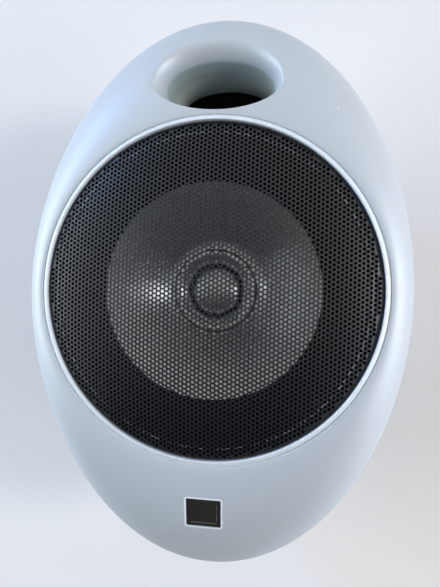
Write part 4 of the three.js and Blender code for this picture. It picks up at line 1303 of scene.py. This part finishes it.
makeGrille()
print("grille made")

# Trim ring and driver.

trimLow, trimHigh = cadSize("trim_ring")
trim = {
    "facets": 256,
    "width": 1.4,
    "flange": 0.28,  # closes the groove round the ring
    "flangeDepth": 0.4,
    "grooveDepth": 0.45,
    "grooveStep": 0.03,
    "bandEdge": [(0.04, 0.16), (0.14, 0.04)],  # low band: in from outside, below the face
    "beadWidth": 0.65,
    "beadFoot": 0.16,  # above the face
    "beadSteps": 13,
}


def makeTrimRing():  # a bead at the inner edge, with a low band outside it
    low, high, outer = trimLow.z, trimHigh.z, trimHigh.x
    inner = outer - trim["width"]
    groove = faceZ - trim["grooveDepth"]
    under, flange = groove - trim["flangeDepth"], outer + trim["flange"]
    profile = [(inner, low), (outer, low), (outer, under), (flange, under), (flange, groove)]
    profile.append((outer, groove + trim["grooveStep"]))
    profile += [(outer - inset, faceZ - depth) for inset, depth in trim["bandEdge"]]
    foot, half = faceZ + trim["beadFoot"], trim["beadWidth"] / 2
    for turn in np.linspace(0, math.pi, trim["beadSteps"]):
        radius = inner + half + half * math.cos(turn)
        profile.append((radius, foot + (high - foot) * math.sin(turn)))
    built = latheProfile("trimBead", profile, trim["facets"], [finishes["chrome_bead"]], sharp=60)
    return seat(built, "cabinet", "chrome_bead", "trim_ring")


makeTrimRing()

cone = {
    "facets": 160,
    "inner": 15,
    "outer": 35,
    "neck": 93.38,
    "edge": 103.88,
    "swell": 0.9,
    "thickness": 0.56,
    "steps": 24,
    # lip over the end of the coil former: radius and height over the neck
    "collar": [(14.15, 0.64), (14.15, 0.97), (14.9, 0.97)],
    "collarBack": [(14.98, 0.64), (15, 0.62)],
}


def makeCone():
    inner, outer, neck, edge = (cone[key] for key in ("inner", "outer", "neck", "edge"))
    face, back = [], []
    for share in np.linspace(0, 1, cone["steps"]):
        z = neck + (edge - neck) * share + math.sin(math.pi * share) * cone["swell"]
        face.append((inner + (outer - inner) * share, z))
        back.insert(0, (face[-1][0], z - cone["thickness"]))
    collar, collarBack = (
        [(radius, neck + rise) for radius, rise in cone[key]] for key in ("collar", "collarBack")
    )
    profile = collar + face + back + collarBack
    built = latheProfile("coneSkin", profile, cone["facets"], [finishes["silver_cone"]])
    return seat(built, "woofer_diaphragm", "silver_cone", "cone")


makeCone()


# A ring built in sectors, each a mesh of its own. Its line of (radius, height) is given an even
# thickness.
def makeRoll(name, node, slot, line, roll):
    profile = line + [(radius, z + roll["thickness"]) for radius, z in reversed(line)]
    count = len(profile)
    for sector in range(roll["sectors"]):
        mould = Mould()
        start = sector * 2 * math.pi / roll["sectors"]
        loops = []
        for step in range(roll["steps"] + 1):
            angle = start + step * 2 * math.pi / roll["sectors"] / roll["steps"]
            x, y = math.cos(angle), math.sin(angle)
            loops.append(np.array([(radius * x, radius * y, z) for radius, z in profile]))
        loops = mould.chain(loops)
        # the ends: the profile is folded, so its corners pair up across the thickness
        for loop in (loops[0], loops[-1]):
            for i in range(count // 2 - 1):
                mould.face((loop[i], loop[i + 1], loop[count - 2 - i], loop[count - 1 - i]), 0)
        built = mould.build(f"{name}.{sector + 1:02d}", [finishes[slot]])
        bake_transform(built)
        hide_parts(node)


surround = {
    "inner": 34.9,
    "rollInner": 35.6,
    "rollOuter": 42.6,
    "outer": 46.2,
    "low": 104.0,
    "height": 2.3,
    "thickness": 0.6,
    "arcSteps": 15,
    "sectors": 20,
    "steps": 10,
    "bendFrom": 35.6,
    "bendTo": 42.2,
}


def makeSurround():
    low = surround["low"]
    middle = (surround["rollInner"] + surround["rollOuter"]) / 2
    half = (surround["rollOuter"] - surround["rollInner"]) / 2
    line = [(surround["inner"], low)]
    for turn in np.linspace(math.pi, 0, surround["arcSteps"]):
        line.append((middle + half * math.cos(turn), low + surround["height"] * math.sin(turn)))
    line.append((surround["outer"], low))
    makeRoll("surround", "surround", "rubber", line, surround)


makeSurround()

spider = {
    "inner": 15,
    "outer": 35.7,
    "low": 90.9,
    "ridge": 0.85,
    "waves": 5,
    "flatInner": 0.06,  # shares of the width over which the waves rise
    "flatOuter": 0.12,
    "points": 61,
    "thickness": 0.5,
    "sectors": 16,
    "steps": 8,
    "bendFrom": 16,
    "bendTo": 33,
}


def makeSpider():
    line = []
    for share in np.linspace(0, 1, spider["points"]):
        radius = spider["inner"] + (spider["outer"] - spider["inner"]) * share
        swell = min(1, share / spider["flatInner"], (1 - share) / spider["flatOuter"])
        wave = math.sin(2 * math.pi * spider["waves"] * share) * spider["ridge"] * swell
        line.append((radius, spider["low"] + wave))
    makeRoll("spider", "spider", "doped_cloth", line, spider)


makeSpider()

dome = {"facets": 96, "radius": 7.9, "low": 91.8, "top": 95.4, "thickness": 0.4, "steps": 20}


def makeDome():
    thickness = dome["thickness"]
    base = dome["low"] + thickness
    rise = dome["top"] - base
    face, back = [], []
    for turn in np.linspace(0, quarter, dome["steps"]):
        z = base + rise * math.cos(turn)
        face.append((dome["radius"] * math.sin(turn), z))
        back.insert(0, ((dome["radius"] - thickness) * math.sin(turn), z - thickness))
    built = latheProfile("tweeterDome", face + back, dome["facets"], [finishes["silver_cone"]])
    return seat(built, "tweeter_diaphragm", "silver_cone", "tweeter_dome")


makeDome()

domeEdge = {
    "inner": 8,
    "outer": 9.1,
    "low": 91.9,
    "height": 0.5,
    "thickness": 0.3,
    "points": 9,
    "sectors": 12,
    "steps": 6,
    "bendFrom": 7.9,
    "bendTo": 9.1,
}


def makeDomeEdge():
    line = []
    for share in np.linspace(0, 1, domeEdge["points"]):
        radius = domeEdge["inner"] + (domeEdge["outer"] - domeEdge["inner"]) * share
        line.append((radius, domeEdge["low"] + domeEdge["height"] * math.sin(math.pi * share)))
    makeRoll("tweeterSurround", "tweeter_surround", "rubber", line, domeEdge)


makeDomeEdge()

waveguide = {
    "facets": 128,
    "throat": 9.2,
    "outer": 13.4,
    "low": 91.7,
    "top": 96,
    "rim": [(0, 0.3), (0.12, 0.1), (0.4, 0)],  # outer edge: in from outside, below the top
    "rimWidth": 0.8,
    "throatHeight": 1.2,
    "steps": 14,
}


def makeWaveguide():
    throat, outer, low, top = (waveguide[key] for key in ("throat", "outer", "low", "top"))
    profile = [(throat, low), (outer, low)]
    profile += [(outer - inset, top - drop) for inset, drop in waveguide["rim"]]
    start = outer - waveguide["rimWidth"]
    depth = top - low - waveguide["throatHeight"]
    for share in np.linspace(0, 1, waveguide["steps"]):
        profile.append((start - (start - throat) * share, top - depth * share**2))
    tones = [finishes["silver_cone"]]
    built = latheProfile("tweeterWaveguide", profile, waveguide["facets"], tones)
    return seat(built, "cabinet", "silver_cone", "tweeter_waveguide")


makeWaveguide()

coilFormer = {"facets": 128, "inner": 14.4, "outer": 14.9, "low": 74.02, "high": 93.98}


def makeCoilFormer():
    inner, outer, low, high = (coilFormer[key] for key in ("inner", "outer", "low", "high"))
    profile = [(inner, low), (outer, low), (outer, high), (inner, high)]
    built = latheProfile("coilFormer", profile, coilFormer["facets"], [finishes["kapton"]])
    return seat(built, "woofer_diaphragm", "kapton", "voice_coil_former")


makeCoilFormer()
print("driver made")

# Port tube and badge plate.


def makePortTube():
    mould = Mould()
    x, y = portPlan(0)
    outerX, outerY = portPlan(0, port["wall"], port["wall"])
    low, high = portLow.z, portHigh.z
    lowRound, highRound = port["tubeLowRounding"], port["tubeRounding"]
    inside = port["roundingInside"]
    inner, outer = [], []
    for z, back in [(low, lowRound), (low + lowRound, 0), (high - highRound, 0), (high, highRound)]:
        share = back / port["wall"]
        offX, offY = (outerX - x) * share, (outerY - y) * share
        inner.append(loopOn(x + offX * inside, y + offY * inside, z))
        outer.append(loopOn(outerX - offX * (1 - inside), outerY - offY * (1 - inside), z))
    loops = mould.chain(inner + outer[::-1])
    mould.strip(loops[-1], loops[0])
    built = mould.build("portTube", [tubeGrey])
    return seat(built, "cabinet", "black_plastic", "port_tube")


makePortTube()


def makeBadge():
    mould = Mould()
    top, bevel, border, field = (
        badge[key] for key in ("thickness", "bevel", "border", "fieldDepth")
    )
    rings = [(0, 0), (top - bevel, 0), (top - bevel / 3, bevel / 3), (top, bevel), (top, border)]
    rings.append((top - field, border + badge["fieldStep"]))
    loops = []
    for z, inset in rings:
        corner = max(badge["corner"] - inset * badge["cornerLoss"], badge["sharpest"])
        plan = roundedLoop(badge["width"] / 2 - inset, badge["height"] / 2 - inset, corner)
        loops.append(loopOn(*plan.T, z))
    loops = mould.chain(loops)
    mould.fan(loops[0])
    mould.fan(loops[-1])
    half = badge["height"] / 2
    skin = [float(frontHeight(0, badgeY + step, driverOpening, 0)) for step in (-half, half)]
    tilt = Matrix.Rotation(math.atan2(skin[1] - skin[0], badge["height"]), 3, "X")
    turned = mould.points @ np.array(tilt.transposed())
    turned += (np.array(badgeLow) + np.array(badgeHigh) - turned.min(0) - turned.max(0)) / 2
    mould.points = turned
    built = mould.build("badgePlate", [finishes["gloss_black"]])
    return seat(built, "cabinet", "gloss_black", "badge_plate")


makeBadge()
print("port tube and badge made")

# Screws: one of each kind turned here, then set out by geometry nodes.

screw = {
    "facets": 40,
    "ridgeRows": 6,  # rows of corners in one turn of a thread
    "neck": 0.6,  # plain length under the head
    "head": 2,  # shares of the shank's radius
    "crown": 1.2,
    "tip": 0.2,
    "tipLength": 0.8,
    "ridge": 0.16,
    "recessDepth": 0.55,
    "headFlat": 0.42,  # shares of the head's radius
    "arm": 0.42,
    "slot": 0.1,
    "headWall": 0.35,  # share of the crown that stands straight
    "recessTaper": 0.85,
    "crownSteps": (0.25, 0.6, 0.85, 1),
    "blackened": {"colour": rgb(52, 54, 57), "roughness": 0.45, "streaks": (1, 8, 1)},
}
screwKinds = {
    "driverScrews": {"shank": 1.3, "length": 9, "pitch": 0.9, "facing": 1, "seed": 3},
    "cabinetScrews": {"shank": 1.5, "length": 16, "pitch": 0.9, "facing": -1, "seed": 5},
    "panelScrews": {"shank": 1.1, "length": 4, "pitch": 0.7, "facing": -1, "seed": 7},
}


def threadLoops(radius, low, high, pitch, depth, count):  # a helical ridge round a cylinder
    loops = []
    rows = max(2, round((high - low) / pitch * screw["ridgeRows"]))
    turns = turnOf(count)
    for z in np.linspace(low, high, rows + 1):
        wave = np.abs(((z / pitch - turns / (2 * math.pi)) % 1) * 2 - 1)
        fade = min(1, (z - low) / pitch, (high - z) / pitch)
        reach = radius - depth * wave * fade
        loops.append(loopOn(np.cos(turns) * reach, np.sin(turns) * reach, z))
    return loops


def crossPlan(arm, slot):
    corners = []
    for turn in range(4):
        cos, sin = math.cos(quarter * turn), math.sin(quarter * turn)
        for x, y in [(slot, -slot), (arm, -slot), (arm, slot)]:
            corners.append((x * cos - y * sin, x * sin + y * cos))
    return np.array(corners)


def makeScrew(name, material):
    kind = screwKinds[name]
    shank, length = kind["shank"], kind["length"]
    head, crown = shank * screw["head"], shank * screw["crown"]
    count = screw["facets"]
    mould = Mould()
    start = -length + shank * screw["tipLength"]
    ridge = shank * screw["ridge"]
    loops = [
        polarLoop(shank * screw["tip"], -length, count),
        *threadLoops(shank, start, -screw["neck"], kind["pitch"], ridge, count),
        polarLoop(shank, 0, count),
        polarLoop(head, 0, count),
    ]
    side = mould.chain(loops)
    mould.fan(side[0])
    rings = [side[-1]]
    wall = screw["headWall"]
    for share in screw["crownSteps"]:
        turn = quarter * share
        radius = head * (1 - screw["headFlat"] * (1 - math.cos(turn)))
        z = crown * (wall + (1 - wall) * math.sin(turn))
        rings.append(mould.add(polarLoop(radius, z, count)))
    mould.chain(rings)
    cross = crossPlan(head * screw["arm"], head * screw["slot"])
    deep = loopOn(*(cross * screw["recessTaper"]).T, crown - shank * screw["recessDepth"])
    recess = mould.chain([loopOn(*cross.T, crown), deep])
    mould.fan(recess[-1])
    edges = [(rings[-1][i], rings[-1][(i + 1) % count]) for i in range(count)]
    mould.fill(edges, [recess[0]])
    return mould.build(name, [material])


# Copies of a screw on the corners of a rectangle, or on two opposite ones.
def setOut(built, nodes, first, centreY=0, diagonal=False):
    kind = screwKinds[built.name]
    low, high = cadSize(first)
    middle = (low + high) / 2
    upward = kind["facing"] > 0
    height = low.z + kind["length"] if upward else high.z - kind["length"]
    tree = Sculpt(
        built.name + "Corners",
        **{
            "Spacing X": 2 * abs(middle.x) * mm,
            "Spacing Y": 2 * abs(middle.y - centreY) * mm,
            "Centre Y": centreY * mm,
            "Height": height * mm,
            "Seed": kind["seed"],
            "Material": built.data.materials[0],
        },
    )
    corners = tree.grid(tree.given("Spacing X"), tree.given("Spacing Y"), 2, 2)
    if diagonal:
        place = tree.parts(tree.position())
        corners = tree.delete(corners, tree.compare("LESS_THAN", place[0] * place[1], 0.0))
    lift = tree.vector(0.0, tree.given("Centre Y"), tree.given("Height"))
    corners = tree.shift(corners, lift)
    spin = {2: 0.0, 3: math.pi, "Seed": tree.given("Seed")}
    spin = tree.node("FunctionNodeRandomValue", {"data_type": "FLOAT"}, spin, 1)
    turned = tree.vector(0.0 if upward else math.pi, 0.0, spin)
    shape = tree.repeat(tree.given("Geometry"), corners, Rotation=turned)
    built = tree.run(shape, built.name, built)
    return seat(built, "cabinet", "zinc_steel", *nodes)


def makeScrews():
    dark = screw["blackened"]
    dark = metalFinish("blackened_screw", dark["colour"], dark["roughness"], dark["streaks"])
    for name, material in [("driver", dark), ("cabinet", finishes["zinc_steel"])]:
        nodes = [f"{name}_screw_{i}" for i in range(1, 5)]
        setOut(makeScrew(f"{name}Screws", material), nodes, nodes[0])
    nodes = ["panel_screw_left", "panel_screw_right"]
    setOut(makeScrew("panelScrews", dark), nodes, nodes[1], rear["pocketY"], diagonal=True)


makeScrews()
print("screws made")

# Rear: terminal panel, binding posts, bracket insert.

postX = 9.525  # each post's distance from the middle
postY = rear["pocketY"]
plasticSlot = {"left": "red_plastic", "right": "black_plastic"}

stud = {
    "facets": 24,
    "radius": 2,
    "low": 4,
    "high": 39,
    "pitch": 0.7,
    "ridge": 0.3,
    "pointLoss": 0.45,  # how much thinner its end is
    "pointLength": 0.4,
}
panel = {
    "halfX": 19,
    "halfY": 12,
    "corner": 3.5,
    "low": 22.5,
    "high": 24.9,
    "edge": [(0, 0.35), (0.12, 0.1), (0.4, 0)],  # above the low face, in from the side
    "studGap": 0.3,
    "screwHole": 1.4,
    "holeFacets": 32,
}
collar = {
    "facets": 72,
    "studGap": 0.1,
    "outer": 6,
    "low": 19.9,
    "high": 22.4,
    "boreEdge": 0.3,
    # low edge: in from outside, above the low face
    "edge": [(1.1, 0), (1, 0.25), (0.5, 0.25), (0.2, 0.35), (0, 0.7)],
}
sleeve = {
    "facets": 24,
    "bore": 2.15,
    "outer": 3.6,
    "low": 9.4,
    "high": 18.9,
    "pitch": 0.7,
    "ridge": 0.1,
    "mouth": 0.5,  # how much wider the bore's low end is
    "mouthDepth": 0.5,
    "end": 0.3,  # and its high end
    "endDepth": 0.3,
    "edge": 0.3,
}
insert = {
    "facets": 36,
    "bore": 3.2,
    "outer": 5,
    "low": 0.2,
    "high": 12,
    "pitch": 1.27,
    "ridge": 0.35,
    "mouth": 0.8,
    "mouthDepth": 0.6,
    "end": 0.35,
    "endDepth": 0.4,
    "edge": 0.2,
}
cap = {
    "radius": 6,
    "low": 7.9,
    "high": 18.9,
    "flutes": 12,
    "fluteFacets": 12,
    "fluteDepth": 0.65,
    "fluteGain": 1.6,  # more gives flutes with steeper sides
    "fluteLess": 0.2,  # more gives narrower flutes
    "sleeveGap": 0.15,
    "boreEdge": 0.3,
    # each end: distance from it, inset, share of the flutes' depth
    "lowEnd": [
        (0, 2.0, 0),
        (0, 0.7, 0),
        (0.2, 0.25, 0),
        (0.7, 0, 0.1),
        (1.2, 0, 0.7),
        (1.8, 0, 1),
    ],
    "highEnd": [(2.4, 0, 1), (1.9, 0, 0.6), (1.5, 0, 0), (0.3, 0, 0), (0, 0.3, 0)],
}


def makePanel():
    mould = Mould()
    low, high = panel["low"], panel["high"]
    rim = []
    for z, inset in [(low + rise, inset) for rise, inset in panel["edge"]] + [(high, 0)]:
        halfX, halfY = panel["halfX"] - inset, panel["halfY"] - inset
        rim.append(loopOn(*roundedLoop(halfX, halfY, panel["corner"] - inset, postY).T, z))
    rim = mould.chain(rim)
    screwLow, screwHigh = cadSize("panel_screw_right")
    screwX = (screwLow.x + screwHigh.x) / 2
    screwY = (screwLow.y + screwHigh.y) / 2 - postY
    studHole, screwHole = stud["radius"] + panel["studGap"], panel["screwHole"]
    lowHoles, highHoles = [], []
    for side in (-1, 1):
        for x, y, radius in [(postX, 0, studHole), (screwX, screwY, screwHole)]:
            place = (side * x, side * y + postY, radius)
            hole = [circleAt(*place, z, panel["holeFacets"]) for z in (low, high)]
            hole = mould.chain(hole)
            lowHoles.append(hole[0])
            highHoles.append(hole[1])
    for loop, holes in [(rim[0], lowHoles), (rim[-1], highHoles)]:
        mould.fill([(loop[i], loop[(i + 1) % len(loop)]) for i in range(len(loop))], holes)
    built = mould.build("terminalPanel", [finishes["black_plastic"]])
    return seat(built, "cabinet", "black_plastic", "terminal_panel")


def toPost(built, x):  # moves the mesh only, so that the object stays at the origin
    built.data.transform(Matrix.Translation((x * mm, postY * mm, 0)))
    return built


def makeStud(side, x):
    radius, low, high, count = (stud[key] for key in ("radius", "low", "high", "facets"))
    start = low + stud["pointLength"]
    mould = Mould()
    rod = threadLoops(radius, start, high, stud["pitch"], stud["ridge"], count)
    rod = mould.chain([polarLoop(radius - stud["pointLoss"], low, count), *rod])
    mould.fan(rod[0])
    mould.fan(rod[-1])
    built = toPost(mould.build(f"stud_{side}_rod", [finishes["brass"]], sharp=60), x)
    return seat(built, "cabinet", "brass", f"stud_{side}")


def makeCollar(side, x):
    low, high, outer, edge = (collar[key] for key in ("low", "high", "outer", "boreEdge"))
    inner = stud["radius"] + collar["studGap"]
    profile = [(inner, high), (inner, low + edge), (inner + edge, low)]
    profile += [(outer - inset, low + rise) for inset, rise in collar["edge"]]
    profile.append((outer, high))
    slot = plasticSlot[side]
    built = latheProfile(f"collar_{side}_ring", profile, collar["facets"], [finishes[slot]])
    return seat(toPost(built, x), "cabinet", slot, f"collar_{side}")


def threadedTube(name, tube):
    bore, outer, low, high, count = (
        tube[key] for key in ("bore", "outer", "low", "high", "facets")
    )
    start, end = low + tube["mouthDepth"], high - tube["endDepth"]
    thread = threadLoops(bore + tube["ridge"], start, end, tube["pitch"], tube["ridge"], count)
    mould = Mould()
    loops = [
        polarLoop(bore + tube["mouth"], low, count),
        *thread,
        polarLoop(bore + tube["end"], high, count),
        polarLoop(outer, high, count),
        polarLoop(outer, low + tube["edge"], count),
        polarLoop(outer - tube["edge"], low, count),
    ]
    loops = mould.chain(loops)
    mould.strip(loops[-1], loops[0])
    return mould.build(name, [finishes["brass"]], sharp=50)


def makeSleeve(side, x):
    built = toPost(threadedTube(f"sleeve_{side}_thread", sleeve), x)
    return seat(built, f"sleeve_{side}", "brass", f"sleeve_{side}")


def makeCap(side, x):  # its flutes run out before both ends
    low, high = cap["low"], cap["high"]
    count = cap["flutes"] * cap["fluteFacets"]
    turns = turnOf(count)
    wave = np.cos(turns * cap["flutes"]) * cap["fluteGain"] - cap["fluteLess"]
    groove = np.clip(wave, 0, 1) * cap["fluteDepth"]
    rings = [(low + rise, inset, depth) for rise, inset, depth in cap["lowEnd"]]
    rings += [(high - drop, inset, depth) for drop, inset, depth in cap["highEnd"]]
    loops = []
    for z, inset, depth in rings:
        reach = cap["radius"] - inset - groove * depth
        loops.append(loopOn(reach * np.cos(turns), reach * np.sin(turns), z))
    hole = sleeve["outer"] + cap["sleeveGap"]
    loops += [polarLoop(hole, high, count), polarLoop(hole, low + cap["boreEdge"], count)]
    mould = Mould()
    loops = mould.chain(loops)
    mould.strip(loops[-1], loops[0])
    slot = plasticSlot[side]
    built = toPost(mould.build(f"cap_{side}_knob", [finishes[slot]], sharp=40), x)
    return seat(built, f"cap_{side}", slot, f"cap_{side}")


def makeTerminals():
    makePanel()
    for side, x in [("left", -postX), ("right", postX)]:
        for makePiece in (makeStud, makeCollar, makeSleeve, makeCap):
            makePiece(side, x)
    built = threadedTube("bracketInsert", insert)
    seat(built, "cabinet", "brass", "bracket_insert")


makeTerminals()
print("terminals made")

# Floor, light and background.

studio = {
    "floor": rgb(226, 224, 221),
    "floorReach": 4,  # metres to each side of the middle
    "floorRoughness": 0.8,
    "grain": 30,
    "grainShade": 0.98,
    "fadeFrom": 0.4,  # metres from the middle over which the floor runs into the background
    "fadeTo": 1.6,
    "air": (0.97, 0.98, 0.96, 1),
    "ambient": 0.5,
    "seen": 1.0,  # strength that gloss shows
    "dimSide": 0.08,  # share left on the side below the badge
    "dimReach": 0.4,  # it fades between directions whose Y is minus and plus this
}


def makeFloor():
    work = bmesh.new()
    bmesh.ops.create_grid(work, x_segments=1, y_segments=1, size=studio["floorReach"])
    mesh = bpy.data.meshes.new("floor")
    work.to_mesh(mesh)
    work.free()
    floor = bpy.data.objects.new("floor", mesh)
    scene.collection.objects.link(floor)
    finish = Finish("floor_paper", roughness=studio["floorRoughness"])
    grain = finish.noise(studio["grain"], 2)
    darker = shade(studio["floor"], studio["grainShade"])
    finish.set("colour", finish.blend(grain, darker, studio["floor"]))
    along = finish.parts(finish.place())
    reach = finish.calc("SQRT", along[0] * along[0] + along[1] * along[1])
    seen = finish.node("ShaderNodeLightPath", output="Is Camera Ray")
    glow = finish.node("ShaderNodeEmission", {}, {"Color": studio["air"], "Strength": 1.0})
    far = finish.fade(reach, studio["fadeFrom"], studio["fadeTo"])
    lit = Signal(finish, finish.shader.outputs[0])
    paper = finish.node("ShaderNodeMixShader", {}, {0: far * seen, 1: lit, 2: glow})
    finish.plug(finish.tree.nodes["Material Output"].inputs["Surface"], paper)
    mesh.materials.append(finish.material)


def makeWorld():  # what gloss and the camera see round the object
    world = bpy.data.worlds.new("studio")
    world.use_nodes = True
    scene.world = world
    net = Net(world.node_tree)
    seen, glossy, through = [
        net.node("ShaderNodeLightPath", output=ray)
        for ray in ("Is Camera Ray", "Is Glossy Ray", "Is Transmission Ray")
    ]
    direct = net.calc("MINIMUM", glossy + through, 1)
    background = world.node_tree.nodes["Background"]
    background.inputs["Color"].default_value = studio["air"]
    heading = net.parts(net.node("ShaderNodeTexCoord", output="Generated"))[1]
    dim = studio["dimReach"]
    inputs = {"Value": heading, 1: -dim, 2: dim, 3: studio["dimSide"], 4: 1.0}
    level = net.node("ShaderNodeMapRange", {"clamp": True}, inputs)
    strength = studio["ambient"] + direct * (studio["seen"] - studio["ambient"])
    strength = strength * level * (1 - seen) + seen
    net.plug(background.inputs["Strength"], strength)


lamps = {
    "window": {
        "place": (-0.94, 0.73, 0.62),
        "size": 0.23,
        "power": 5.8,
        "colour": (0.22, 0.46, 1),
    },
    "right": {
        "place": (1.05, 0.1, 0.92),
        "size": 0.24,
        "power": 5.4,
        "colour": (1, 1, 0.98),
    },
    "left": {
        "place": (-1.1, 0.05, 0.5),
        "size": 1.0,
        "power": 15.0,
        "colour": (0.88, 0.94, 1),
    },
    "side": {
        "place": (1.2, -0.15, 0.45),
        "size": 1.1,
        "power": 16.5,
        "colour": (0.86, 0.88, 1),
    },
}


def makeLamps():
    for name, lamp in lamps.items():
        data = bpy.data.lights.new(name, "AREA")
        data.size = lamp["size"]
        data.energy = lamp["power"]
        data.color = lamp["colour"]
        light = bpy.data.objects.new(name, data)
        light.location = lamp["place"]
        toward = Vector((0, 0, faceZ * mm)) - light.location
        light.rotation_euler = toward.to_track_quat("-Z", "Y").to_euler()
        scene.collection.objects.link(light)


makeFloor()
makeWorld()
makeLamps()
scene.view_settings.view_transform = "Standard"

# CAD nodes that stay.

slotOf = {part["node"]: part["material_slot"] for part in frame["record"]["subparts"]}
for name, node in frame["nodes"].items():
    node.data.materials.clear()
    node.data.materials.append(finishes[slotOf[name]])
